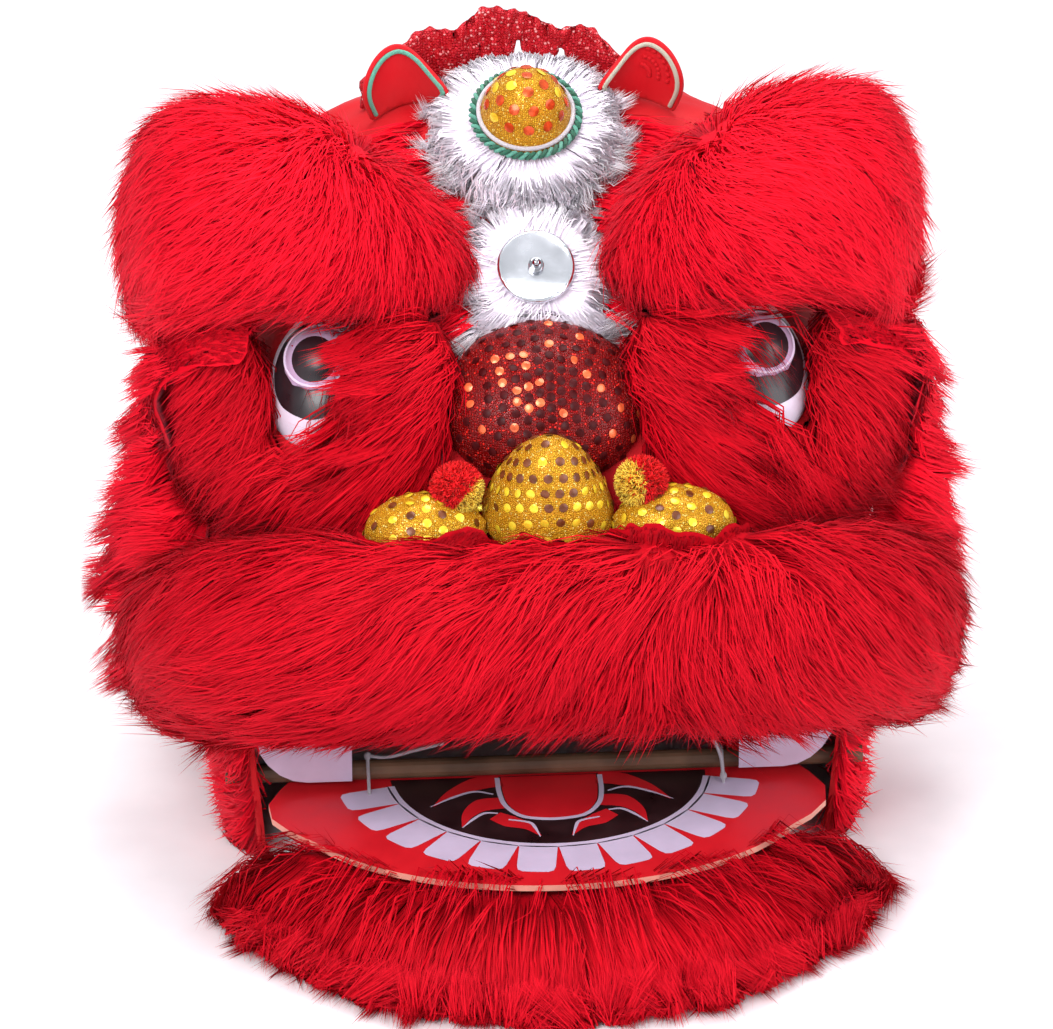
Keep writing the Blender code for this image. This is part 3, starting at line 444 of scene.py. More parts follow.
def treeFrom(mesh):
    points, faces = arraysOf(mesh)
    return BVHTree.FromPolygons([Vector(p) for p in points], [tuple(int(i) for i in f) for f in faces])


shellTree = treeFrom(nodes["head_shell"].data)


def liesUnder(tree, spot, out, reach):
    # whether the other piece passes over the surface at this spot
    near = tree.find_nearest(Vector(spot), reach)[0]
    return near is not None and (near - Vector(spot)).dot(Vector(out)) > 0.0


def hairWeights(fur, middle, out, area, extra):
    # no hair where the shell lies over the surface, and little where a neighbour does
    weight = area.copy()
    if "where" in fur:
        weight = weight * fur["where"](middle, out)
    for i in range(len(area)):
        if "where" not in fur and liesUnder(shellTree, middle[i], out[i], cover["shell"]):
            weight[i] = 0
            continue
        for other in extra:
            if liesUnder(other, middle[i], out[i], cover["neighbour"]):
                weight[i] *= cover["left"]
    return weight


def hairRoots(points, faces, normals, weight, count, rng):
    # hairs strewn over the faces: where each stands, and the way the surface faces there
    chosen = rng.choice(len(faces), count, p=weight / weight.sum())
    mix = rng.random((count, 2))
    flip = mix.sum(1) > 1
    mix[flip] = 1 - mix[flip]
    blend = np.stack([1 - mix.sum(1), mix[:, 0], mix[:, 1]], 1)[:, :, None]
    return (points[faces[chosen]] * blend).sum(1), unit((normals[faces[chosen]] * blend).sum(1))


def combHair(surface, faces, normals, roots, facing, length, comb, fur):
    # each hair grows in steps the way it is combed, held to the surface less and less towards its tip
    count, steps = len(roots), fur["steps"]
    path = np.zeros((steps + 1, count, 3))
    front = np.zeros((steps + 1, count, 3))
    path[0] = roots - facing * fur["inset"]
    front[0] = facing
    place, outward = roots.copy(), facing.copy()
    for s in range(1, steps + 1):
        t = s / steps
        way = comb(place, outward)
        way = unit(way - outward * (way * outward).sum(1, keepdims=True) * fur["hug"])
        rise = fur["rise"] * (1 - t) ** 0.7
        way = unit(way * math.cos(rise) + outward * math.sin(rise))
        reached = path[s - 1] + way * (length / steps)[:, None]
        height = -fur["inset"] + (fur["inset"] + fur["lift"]) * t**0.6
        hold = fur["hold"] * (1 - t * fur["free"])
        for i in range(count):
            spot, _, index, _ = surface.find_nearest(Vector(reached[i]))
            place[i] = spot
            outward[i] = normals[faces[index, 0]]
        path[s] = reached + (place + outward * height - reached) * hold
        front[s] = outward
    return path, front


def gatherLocks(path, front, roots, area, fur, rng):
    # hairs lean to the nearest leading hair and wave with it; returns each hair's tone, dark to light
    count, steps = len(roots), len(path) - 1
    leaders = max(int(area / fur["lockSize"] ** 2), 4)
    leading = rng.choice(count, min(leaders, count), replace=False)
    tree = KDTree(len(leading))
    for k, i in enumerate(leading):
        tree.insert(Vector(roots[i]), k)
    tree.balance()
    lockOf = np.array([leading[tree.find(Vector(p))[1]] for p in roots])
    sideways = unit(np.cross(path[-1] - path[0], front[0]))
    phase = rng.random(count) * 2 * math.pi
    swing = rng.normal(size=count)
    loose = rng.normal(size=(count, 3))
    for s in range(1, steps + 1):
        t = s / steps
        path[s] += (path[s][lockOf] - path[s]) * (fur["lock"] * t**1.4)
        wave = np.sin(phase[lockOf] + 2.6 * t) * swing[lockOf] * fur["wave"] * t
        path[s] += sideways[lockOf] * wave[:, None] + loose * fur["frizz"] * t**1.5
    return np.clip(0.5 + 0.1 * swing[lockOf] + 0.15 * rng.normal(size=count), 0.02, 0.98)


def growFur(name, node, body, look, comb, fur, extra=()):
    # hair that is rooted just inside the node's surface and combed along it
    fur = {**anyFur, **fur}
    rng = np.random.default_rng(fur["seed"])
    base = smoothCopy(node, 1, crease=180)
    points, faces = arraysOf(base)
    normals = vertexNormals(points, faces, fur["even"])
    corners = points[faces]
    crossed = np.cross(corners[:, 1] - corners[:, 0], corners[:, 2] - corners[:, 0])
    area = np.linalg.norm(crossed, axis=1) / 2
    weight = hairWeights(fur, corners.mean(1), unit(normals[faces].mean(1)), area, extra)
    count = fur["hairs"]
    roots, facing = hairRoots(points, faces, normals, weight, count, rng)
    length = fur["length"] * (1 + fur["uneven"] * (rng.random(count) * 2 - 1))
    if "longer" in fur:
        length = length * fur["longer"](roots)
    path, front = combHair(treeFrom(base), faces, normals, roots, facing, length, comb, fur)
    tone = gatherLocks(path, front, roots, area[weight > 0].sum(), fur, rng)
    verts, tris, corners, soft = ribbons(path, front, fur["width"], tone, rng)
    lowest = fur["ground"] + fur["groundUneven"] * rng.random(len(verts))
    verts[:, 2] = np.maximum(verts[:, 2], lowest)  # hair that reaches the ground lies on it
    reach = cadBox[1].x + fur["beyond"]
    verts[:, 0] = np.clip(verts[:, 0], -reach, reach)
    if "hindmost" in fur:  # kept in front of the piece behind it
        verts[:, 1] = np.minimum(verts[:, 1], fur["hindmost"] - 0.002 * rng.random(len(verts)))
    if "where" in fur:
        obj = addPiece(name, trianglesMesh(verts, tris, corners, soft), look, body)
        print(name, "hairs", count, "triangles", len(tris))
        return obj
    # the fur's backing, a little below the hair tips, in a colour between the painted-shade root and the
    # middle
    backNormals = vertexNormals(points, faces, 2)
    tris = np.vstack([tris, faces + len(verts)])
    verts = np.vstack([verts, points - backNormals * fur["backing"]])
    backMap = np.tile(np.array([[(0.50, 0.28), (0.54, 0.28), (0.52, 0.31)]]), (len(faces), 1, 1))
    corners = np.vstack([corners, backMap])
    mesh = trianglesMesh(verts, tris, corners, np.vstack([soft, backNormals]))
    obj = addPiece(name, mesh, look, body, stands=node)
    print(name, "hairs", count, "triangles", len(tris))
    return obj


def ribbons(path, front, width, tone, rng):
    # a tapered flat hair along each path, turned a little at random about its own line
    steps, count = path.shape[0] - 1, path.shape[1]
    ahead = unit(np.gradient(path, axis=0))
    lean = rng.normal(size=(count, 3)) * 0.45
    across = unit(np.cross(ahead, front + lean[None]))
    taper = [1.0, 1.0, 0.8, 0.55, 0.4][: steps]
    wide = width * (0.7 + 0.6 * rng.random(count))
    verts = []
    for s in range(steps):
        half = across[s] * (wide * taper[s] / 2)[:, None]
        verts += [path[s] - half, path[s] + half]
    verts.append(path[steps])
    rows = len(verts)
    points = np.stack(verts, 1).reshape(-1, 3)
    loose = rng.normal(size=(count, 3)) * 0.10
    facing = [unit(front[s] + loose + 0.25 * ahead[s]) for s in range(steps + 1)]
    soft = np.stack([facing[s // 2] for s in range(rows)], 1).reshape(-1, 3)
    start = np.arange(count) * rows
    tris, maps = [], []
    for s in range(steps):
        a, b = start + 2 * s, start + 2 * s + 1
        low, high = s / steps, (s + 1) / steps
        if s < steps - 1:
            c, d = start + 2 * s + 2, start + 2 * s + 3
            tris += [np.stack([a, b, d], 1), np.stack([a, d, c], 1)]
            maps.append(mapRow(tone, (-1, low), (1, low), (1, high)))
            maps.append(mapRow(tone, (-1, low), (1, high), (-1, high)))
        else:
            tris.append(np.stack([a, b, start + 2 * s + 2], 1))
            maps.append(mapRow(tone, (-1, low), (1, low), (0, high)))
    return points, np.vstack(tris), np.vstack(maps), soft


def mapRow(tone, *spots):
    row = np.zeros((len(tone), 3, 2))
    for i, (side, up) in enumerate(spots):
        row[:, i, 0] = tone + 0.004 * side
        row[:, i, 1] = 0.01 + 0.98 * up
    return row


def noiseAt(places, size, seed):
    # soft random value from -1 to 1 that changes over the given size
    rng = np.random.default_rng(seed)
    value = np.zeros(len(places))
    for _ in range(6):
        wave = rng.normal(size=3) / size
        value += np.sin(places @ wave * 2.2 + rng.random() * 6.28)
    return value / 3


def share(value, start, reach):
    # how far the value has gone from start over the reach, from 0 to 1
    return np.clip((value - start) / reach, 0, 1)


# the long roll over the upper lip
lip = {
    "hairs": 53000, "length": 0.042, "uneven": 0.45, "width": 0.0007, "steps": 2, "seed": 11,
    "inset": 0.011, "lift": 0.0005, "backing": 0.009, "free": 0.75,
    "lockSize": 0.009, "lock": 0.5, "wave": 0.0035, "frizz": 0.003,
}  # fmt: skip
lipParting = 0.054


def combLip(places, outward):
    x = (places[:, 0] - lipParting) / 0.14
    x = np.clip(x, -1.15, 1.0)
    swirl = noiseAt(places, 0.05, 3) * 0.35
    return np.stack([1.15 * x + swirl, -0.25 + 0 * x, -0.95 + 0.4 * np.abs(x)], 1)


def lipLength(roots):
    # shorter and ragged along the lower edge, most of all over the mouth and the corner teeth
    low = np.clip((0.150 - roots[:, 2]) / 0.06, 0, 1)
    across = np.abs(roots[:, 0])
    overMouth = 0.12 * np.clip(1 - across / 0.11, 0, 1)
    overTeeth = 0.22 * np.clip(1 - np.abs(across - 0.112) / 0.035, 0, 1)
    ragged = 1 + 0.8 * noiseAt(roots, 0.014, 4)
    ends = share(across, 0.150, 0.04) * np.where(roots[:, 0] > 0, 0.55, 0.35)
    return np.clip(1 - low * (0.38 + (overMouth + overTeeth)) * ragged - ends, 0.22, 1.3)


growFur("lipFur", "lip_fur", "head", furShaded, combLip, {**lip, "longer": lipLength})

brow = {
    "hairs": 31500, "length": 0.026, "uneven": 0.5, "width": 0.00065, "steps": 2, "seed": 21,
    "inset": 0.009, "lift": 0.002, "backing": 0.007, "even": 5, "rise": 0.7,
    "lockSize": 0.008, "lock": 0.28, "wave": 0.002, "frizz": 0.004,
}  # fmt: skip
for side, sign in sides.items():
    low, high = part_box("brow_fur_" + side)
    heart = ((low + high) / 2)[:]

    def combBrow(places, outward, sign=sign, heart=heart):
        away = unit(places - np.array(heart)) * 0.7
        swirl = 0.3 * noiseAt(places, 0.04, 5)[:, None] * np.array((1, 0, 0.6))
        return away + np.array((0.45 * sign, -0.1, -0.55)) + swirl

    def browLength(roots, sign=sign, heart=heart):
        low = np.clip((heart[2] - roots[:, 2]) / 0.05, 0, 1)
        inner = np.clip((0.12 - sign * roots[:, 0]) / 0.06, 0, 1)
        return 1 + 0.35 * low + 0.5 * low * inner

    hair = {**brow, "seed": brow["seed"] + sign, "longer": browLength}
    growFur("browFur" + side.title(), "brow_fur_" + side, "head", furRed, combBrow, hair)

# the rings round the eyes, and the manes down the sides
cheek = {
    "hairs": 17500, "length": 0.035, "uneven": 0.45, "width": 0.00065, "steps": 2, "seed": 31,
    "inset": 0.007, "lift": 0.003, "backing": 0.006, "free": 0.85,
    "lockSize": 0.009, "lock": 0.45, "wave": 0.003, "frizz": 0.0035,
}  # fmt: skip
mane = {
    "hairs": 16000, "length": 0.036, "uneven": 0.4, "width": 0.00075, "steps": 2, "seed": 41,
    "inset": 0.012, "lift": -0.001, "backing": 0.010, "free": 0.95, "rise": 0.5, "hug": 0.6,
    "lockSize": 0.010, "lock": 0.7, "wave": 0.003, "frizz": 0.0025,
}  # fmt: skip
for side, sign in sides.items():

    def combSide(places, outward, sign=sign):
        swirl = 0.35 * noiseAt(places, 0.04, 6)[:, None] * np.array((0.4, 0, 1.0))
        return np.array((0.75 * sign, -0.12, -0.65)) + swirl

    def cheekLength(roots, sign=sign):
        x, z = sign * roots[:, 0], roots[:, 2]
        beside = np.clip(1 - np.abs(x - 0.066) / 0.022, 0, 1) * np.clip(1 - np.abs(z - 0.235) / 0.04, 0, 1)
        return 1 + 1.5 * beside  # falls over the inner half of the eye

    def combMane(places, outward, sign=sign):
        # the hind hair is combed back over the cloth, the front hair out to the side
        back = share(places[:, 1], 0.005, 0.03)
        way = np.stack([1.1 * sign * (1 - 0.5 * back), -0.1 + 1.0 * back, -0.35 - 0.1 * back], 1)
        return way + 0.5 * noiseAt(places, 0.03, 7)[:, None] * np.array((0.2, 0, 1.0))

    def maneLength(roots):
        return 1 - 0.35 * share(roots[:, 2], 0.17, 0.04) + 0.35 * noiseAt(roots, 0.012, 12)

    hair = {**cheek, "seed": cheek["seed"] + sign, "longer": cheekLength}
    growFur("cheekFur" + side.title(), "cheek_fur_" + side, "head", furShaded, combSide, hair)
    hair = {**mane, "seed": mane["seed"] + sign, "longer": maneLength}
    growFur("sideMane" + side.title(), "side_mane_" + side, "head", furRed, combMane, hair)

# loose wisps that fall from the cheeks over the inner half of the eyes
wisp = {
    "hairs": 2400, "length": 0.022, "width": 0.00065, "lock": 0.0042, "seed": 90,
    "inner": (0.058, 0.080), "high": (0.204, 0.266), "way": (0.85, -0.22, -0.42),
}  # fmt: skip
for side, sign in sides.items():
    rng = np.random.default_rng(wisp["seed"] + sign)
    cheekTree = treeFrom(nodes["cheek_fur_" + side].data)
    starts = []
    for _ in range(wisp["hairs"]):
        above = Vector((sign * rng.uniform(*wisp["inner"]), -0.3, rng.uniform(*wisp["high"])))
        spot = cheekTree.ray_cast(above, Vector((0, 1, 0)))[0]
        if spot is not None:
            starts.append(spot[:])
    starts = np.array(starts) + (0, 0.003, 0)
    count = len(starts)
    lock = (starts[:, 2] / wisp["lock"]).astype(int)
    swings = rng.normal(size=(lock.max() + 1, 2))
    gather = (lock + 0.5) * wisp["lock"] - starts[:, 2]  # towards the middle of its lock
    length = wisp["length"] * (1 + 0.22 * swings[lock, 0]) * (0.75 + 0.5 * rng.random(count))
    way = np.tile(np.array(wisp["way"]) * (sign, 1, 1), (count, 1))
    way[:, 2] += 0.25 * swings[lock, 1]
    way = unit(way)
    half = starts + way * (length * 0.5)[:, None]
    half[:, 1] -= 0.002
    half[:, 2] += gather * 0.3
    tips = starts + way * length[:, None]
    tips[:, 1] += 0.003
    tips[:, 2] += gather * 0.75 - 0.003
    path = np.stack([starts, half, tips + rng.normal(size=tips.shape) * 0.0014])
    front = np.broadcast_to(unit(np.array((0.1 * sign, -1.0, 0.25))), path.shape)
    tone = np.clip(0.5 + 0.15 * rng.normal(size=count), 0, 1)
    mesh = trianglesMesh(*ribbons(path, front, wisp["width"], tone, rng))
    addPiece("eyeWisps" + side.title(), mesh, furShaded, "head")

beard = {
    "hairs": 37500, "length": 0.056, "uneven": 0.35, "width": 0.00075, "steps": 2, "seed": 51,
    "inset": 0.004, "lift": 0.002, "backing": 0.004, "rise": 0.15,
    "lockSize": 0.010, "lock": 0.5, "wave": 0.003, "frizz": 0.0022,
}  # fmt: skip
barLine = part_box("mouth_bar")
barY = (barLine[0].y + barLine[1].y) / 2
barZ = (barLine[0].z + barLine[1].z) / 2


def combBeard(places, outward):
    away = np.stack([places[:, 0], (places[:, 1] - barY) * 1.15, np.zeros(len(places))], 1)
    swirl = 0.12 * noiseAt(places, 0.03, 8)[:, None] * np.array((1, 0, 0))
    return unit(away) + np.array((0, 0, -0.05)) + swirl


boardTree = treeFrom(nodes["jaw_board"].data)
growFur("beardFur", "beard_fur", "jaw", furShaded, combBeard, beard, extra=(boardTree,))

# the white pads under mirror and horn, combed away from the middle of each
pad = {
    "hairs": 9000, "length": 0.019, "uneven": 0.35, "width": 0.0006, "steps": 2, "seed": 60,
    "inset": 0.004, "lift": 0.002, "backing": 0.003, "rise": 0.55, "free": 0.8, "hold": 0.5,
    "lockSize": 0.006, "lock": 0.5, "wave": 0.0015, "frizz": 0.0012,
    "hindmost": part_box("crest_ruffle")[0].y + 0.004,
}  # fmt: skip
hearts = {}
for name, node, centre in (("mirrorFur", "mirror_fur", "mirror_disc"), ("hornFur", "horn_fur", "horn")):
    low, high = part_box(centre)
    heart = np.array(((low + high) / 2)[:])
    hearts[centre] = heart

    def combPad(places, outward, heart=heart):
        return unit(places - heart)

    def padLength(roots, heart=heart):
        # hangs down over the piece below
        return 1 + 1.2 * np.clip((heart[2] - 0.006 - roots[:, 2]) / 0.02, 0, 1)

    hair = {**pad, "seed": pad["seed"] + len(name), "longer": padLength}
    growFur(name, node, "head", furWhite, combPad, hair, extra=(treeFrom(nodes[centre].data),))

# short fur on the cloth itself, wherever the rolls leave it bare in front, thinning out down the sides
facePatch = {
    "hairs": 20000, "length": 0.024, "uneven": 0.45, "width": 0.0008, "steps": 2, "seed": 71,
    "inset": 0.0, "lift": 0.009, "rise": 0.7, "slot": "brow_fur_left",
    "lockSize": 0.009, "lock": 0.4, "wave": 0.002, "frizz": 0.003,
    "mirror_disc": 0.037, "horn": 0.050,
}  # fmt: skip
rolls = []
for node in nodes:
    if "_fur" in node or "_mane" in node or node == "nose_bridge":
        rolls.append(treeFrom(nodes[node].data))


def bareFront(middle, out):
    x, y, z = np.abs(middle[:, 0]), middle[:, 1], middle[:, 2]
    facing = ((middle - np.array((0, 0.09, 0.12))) * out).sum(1) > 0
    eye = (x > 0.066) & (x < 0.128) & (z > 0.196) & (z < 0.262)
    covered = np.zeros(len(x), bool)
    for i in np.flatnonzero(facing & ~eye):  # hidden under one of the rolls
        start = Vector(middle[i] + out[i] * 0.0005)
        for roll in rolls:
            covered[i] |= roll.ray_cast(start, Vector(out[i]), 0.035)[0] is not None
    pads = (x < 0.052) & (z > 0.178) & (z < 0.248)
    for centre, heart in hearts.items():
        pads |= np.linalg.norm(middle - heart, axis=1) < facePatch[centre]
    crown = (y > 0.118) | ((y > 0.10) & (x < 0.08))
    low = (z < 0.155) & (x < 0.13)
    ragged = y + 0.014 * noiseAt(middle, 0.02, 13)
    behind = np.where((z < 0.29) & (x > 0.115), np.clip((0.088 - ragged) / 0.035, 0, 1), 1.0)
    foot = np.where(z < 0.07, np.clip((0.030 - ragged) / 0.03, 0, 1), 1.0)
    return (facing & ~eye & ~pads & ~crown & ~low) * np.where(covered, 0.06, 1.0) * behind * foot


def combFace(places, outward):
    side = np.sign(places[:, 0])
    back = share(np.abs(places[:, 0]), 0.11, 0.03)
    down = -0.6 + 0.3 * noiseAt(places, 0.03, 9)
    return np.stack([0.8 * side * (1 - 0.6 * back), -0.15 + 0.85 * back, down], 1)


growFur("faceFur", "head_shell", "head", furRed, combFace, {**facePatch, "where": bareFront})

# pompoms: short hair standing out all round, red with a yellow part, darker at the root as painted shade
pompomRed = furLook(
    "pompomRed", (0.35, 0.003, 0.005), (0.85, 0.008, 0.015), (1.0, 0.025, 0.03), 0.6, 0.1, (1, 0.4, 0.3)
)  # fmt: skip
pompomYellow = furLook(
    "pompomYellow", (0.85, 0.36, 0.015), (1.0, 0.58, 0.03), (1.0, 0.78, 0.12), 0.75, 0.1, (1, 0.9, 0.5)
)  # fmt: skip
pompom = {
    "hairs": 5000, "reach": 0.0128, "core": 0.0105, "width": 0.0011, "seed": 70,
    "yellowWay": {"left": (0.75, -0.35, -0.55), "right": (-0.75, -0.45, 0.1)}, "yellowFrom": 0.45,
}  # fmt: skip


def withCore(heart, verts, tris, corners, soft):
    # the ball inside the pompom, so that nothing shows between its hairs
    ball = bmesh.new()
    place = Matrix.Translation(heart)
    bmesh.ops.create_icosphere(ball, subdivisions=2, radius=pompom["core"], matrix=place)
    core = bpy.data.meshes.new("core")
    ball.to_mesh(core)
    ball.free()
    points, faces = arraysOf(core)
    coreMap = np.tile(np.array([[(0.5, 0.5), (0.54, 0.5), (0.52, 0.53)]]), (len(faces), 1, 1))
    tris = np.vstack([tris, faces + len(verts)])
    soft = np.vstack([soft, unit(points - heart)])
    return np.vstack([verts, points]), tris, np.vstack([corners, coreMap]), soft


for side, sign in sides.items():
    low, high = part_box("pompom_" + side)
    heart = np.array(((low + high) / 2)[:])
    rng = np.random.default_rng(pompom["seed"] + sign)
    ways = unit(rng.normal(size=(pompom["hairs"], 3)))
    reach = pompom["reach"] * (0.93 + 0.1 * rng.random(len(ways)))
    bend = rng.normal(size=ways.shape) * 0.10
    foot = heart + ways * pompom["core"] * 0.6
    half = heart + ways * (reach * 0.8)[:, None]
    path = np.stack([foot, half, heart + unit(ways + bend) * reach[:, None]])
    front = np.stack([unit(rng.normal(size=ways.shape))] * 3)
    isYellow = (ways @ unit(np.array(pompom["yellowWay"][side]))) > pompom["yellowFrom"]
    for look, mask, label in ((pompomRed, ~isYellow, "Red"), (pompomYellow, isYellow, "Yellow")):
        tone = np.clip(0.5 + 0.2 * rng.normal(size=mask.sum()), 0, 1)
        parts = ribbons(path[:, mask], front[:, mask], pompom["width"], tone, rng)
        if label == "Red":
            parts = withCore(heart, *parts)
        name = "pompom" + side.title() + label
        addPiece(name, trianglesMesh(*parts), look, "head", stands="pompom_" + side)
print("fur done")


def axesFor(axis):
    axis = Vector(axis).normalized()
    across = axis.cross(Vector((0.0, 0.3, 1.0))).normalized()
    return axis, across, axis.cross(across)


redCloth = clothLook("redCloth", (0.60, 0.003, 0.010), 1500.0, 0.03, 0.00005, 0.05)
# near-black cloth for the inner faces of the head: painted shade
insideShadeCloth = clothLook("paintedShadeInside", (0.035, 0.012, 0.014), 600.0, 0.05)
# the cloth of the head, its inner faces near-black as painted shade
headMesh = smoothCopy("head_shell", 2, crease=50)
headPoints, headFaces = arraysOf(headMesh)
headNormals = vertexNormals(headPoints, headFaces, 1)
loose = np.clip((headPoints[:, 1] - 0.08) / 0.06, 0, 1) * np.clip(headPoints[:, 2] / 0.03, 0, 1)
around = np.arctan2(headPoints[:, 0], headPoints[:, 1] - 0.05)
fold = np.sin(around * 26 + 2.5 * noiseAt(headPoints, 0.06, 14)) + 0.8 * noiseAt(headPoints, 0.035, 15)
heart = np.stack([0 * around, 0 * around + 0.07, np.clip(headPoints[:, 2], 0.02, 0.2)], 1)
outside = np.sign(((headPoints - heart) * headNormals).sum(1))  # the painted-shade inside follows the cloth
headPoints = headPoints + headNormals * (0.0008 * loose * fold * outside)[:, None]  # soft folds behind
headMesh.vertices.foreach_set("co", np.ascontiguousarray(headPoints, np.float32).ravel())
addPiece("headCloth", headMesh, redCloth, "head", stands="head_shell")
# faces turned inward take the painted shade
headMesh.materials.append(insideShadeCloth)
for polygon in headMesh.polygons:
    middle = Vector((0, 0.07, max(min(polygon.center.z, 0.2), 0.02)))
    polygon.material_index = int((polygon.center - middle).dot(polygon.normal) < 0)

# a hem round the foot, and a stitched seam down the middle of the back
headTree = treeFrom(headMesh)
hem = {
    "height": 0.0045, "radius": 0.0024, "seam": 0.0009,
    "stitch": 0.0062, "length": 0.0034, "beside": 0.0032, "thread": (0.0003, 0.0006, 0.0003),
}  # fmt: skip


def clothLine(heart, across, up, turns):
    # where lines from outside towards the heart meet the cloth
    line = []
    for t in np.radians(turns):
        way = Vector(across) * math.cos(t) + Vector(up) * math.sin(t)
        spot = headTree.ray_cast(Vector(heart) + way * 0.5, -way)[0]
        if spot is not None:
            line.append(spot[:])
    return line


hemLine = clothLine((0, 0.03, hem["height"]), (1, 0, 0), (0, 1, 0), np.linspace(-8, 188, 90))
seamLine = clothLine((0, 0.05, 0.02), (0, 1, 0), (0, 0, 1), np.linspace(2, 76, 60))
hemCloth = clothLook("hemCloth", (0.42, 0.004, 0.010), 1500.0, 0.05, 0.00005, 0.05)
seamThread = clothLook("seamThread", (0.75, 0.05, 0.06), 2500.0, 0.05, 0.00005, 0.05)
addPiece("headHem", meshFrom(*tubeAlong(hemLine, hem["radius"], 8)), hemCloth, "head")
addPiece("backSeam", meshFrom(*tubeAlong(seamLine, hem["seam"], 6)), hemCloth, "head")
seam = np.array(seamLine)
walked = np.concatenate([[0], np.cumsum(np.linalg.norm(np.diff(seam, axis=0), axis=1))])
stitches = []
for beside in (-hem["beside"], hem["beside"]):
    for start in np.arange(0.004, walked[-1] - 0.004, hem["stitch"]):
        line = []
        for step in (0, hem["length"] / 2, hem["length"]):
            spot = np.array([np.interp(start + step, walked, seam[:, i]) for i in range(3)])
            line.append(spot + (beside, 0, 0))
        stitches.append(tubeAlong(line, hem["thread"], 6))
addPiece("backStitches", joined(stitches), seamThread, "head")


def sewSpots(name, mesh, axis, spots, looks, pick, keep):
    # round sequins sewn in staggered rings, each a shallow dome tilted a little
    rng = np.random.default_rng(spots["seed"])
    points, _ = arraysOf(mesh)
    tree = treeFrom(mesh)
    centre = Vector((points.min(0) + points.max(0)) / 2)
    reach = float(np.linalg.norm(points - np.array(centre), axis=1).max())
    axis, across, over = axesFor(axis)
    size = float(np.median(np.linalg.norm(points - np.array(centre), axis=1)))
    parts = [[] for _ in looks]
    rows = max(int(math.pi * size / spots["spacing"]), 4)
    for row in range(rows + 1):
        polar = math.pi * row / rows
        ring = max(int(2 * math.pi * math.sin(polar) * size / spots["spacing"]), 1)
        for k in range(ring):
            turn = 2 * math.pi * (k + 0.5 * (row % 2)) / ring
            level = across * math.cos(turn) + over * math.sin(turn)
            way = axis * math.cos(polar) + level * math.sin(polar)
            spot, out, _, _ = tree.ray_cast(centre + way * reach * 2, -way)
            if spot is None or not keep(spot, out):
                continue
            tilt = (out + Vector(rng.normal(size=3)) * spots["tilt"]).normalized()
            _, u, v = axesFor(tilt)
            verts = []
            for t in np.linspace(0, 2 * math.pi, 12, endpoint=False):
                aside = (u * math.cos(t) + v * math.sin(t)) * spots["radius"]
                verts.append(spot + out * spots["lift"] + aside)
            verts.append(spot + tilt * (spots["lift"] + spots["crown"]))
            parts[pick(spot, rng)].append((verts, [(i, (i + 1) % 12, 12) for i in range(12)]))
    for label, (look, part) in enumerate(zip(looks, parts)):
        if part:
            addPiece(f"{name}{label}", joined(part), look, "head")


bridgeCloth = sequinLook(
    "bridgeCloth", (0.13, 0.001, 0.001), (0.34, 0.001, 0.002), (0.80, 0.02, 0.012), 900.0, 0.0
)  # fmt: skip
goldCloth = sequinLook("goldCloth", (0.55, 0.24, 0.008), (0.92, 0.54, 0.03), (1.0, 0.82, 0.22), 1100.0, 0.3)
spotDark = paintLook("sequinDarkRed", (0.055, 0.001, 0.002), 0.4, 0.2, 300.0, 0.0, 0.12)
# the orange and yellow sequins are painted glints, bright discs standing in for light caught by some sequins
spotGlint = paintLook("sequinOrangeGlint", (1.0, 0.16, 0.05), 0.2, 0.2, 300.0, 0.3)
spotBrown = paintLook("sequinBrown", (0.16, 0.04, 0.008), 0.3, 0.2, 300.0, 0.1)
spotYellowGlint = paintLook("sequinYellowGlint", (1.0, 0.72, 0.04), 0.2, 0.1, 300.0, 0.3)
spotRed = paintLook("sequinRed", (0.75, 0.09, 0.015), 0.25, 0.25, 300.0, 0.4)
spots = {"spacing": 0.0078, "radius": 0.0021, "lift": 0.0003, "crown": 0.0006, "tilt": 0.12, "seed": 81}
padded = []
for name, node, look, fill in (
    ("noseBridge", "nose_bridge", bridgeCloth, 0.8),
    ("noseTip", "nose_tip", goldCloth, 0.9),
    ("hornDome", "horn", goldCloth, 0.9),
    ("nostrilLeft", "nostril_left", goldCloth, 0.8),
    ("nostrilRight", "nostril_right", goldCloth, 0.8),
):  # fmt: skip
    mesh = smoothCopy(node, 2)
    padded.append(addPiece(name, mesh, look, "head", stands=node))
noseBridge, noseTip, hornDome, nostrilLeft, nostrilRight = [obj.data for obj in padded]
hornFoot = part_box("horn")[0].z


def pickSome(portion):
    # the second look for about this portion of the sequins
    return lambda spot, rng: int(rng.random() < portion)


# on the nose tip the lower part gets mostly painted yellow glints, the top mostly brown sequins
def pickTip(spot, rng):
    low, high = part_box("nose_tip")
    up = (spot.z - low.z) / (high.z - low.z)
    return int(rng.random() < 0.85) if up < 0.62 else int(rng.random() < 0.06)


def facesOut(spot, out):
    return out.y < 0.35 or out.z > 0.2


def aboveBraid(spot, out):
    return spot.z > hornFoot + 0.012


acrossNose = (1, 0, 0)
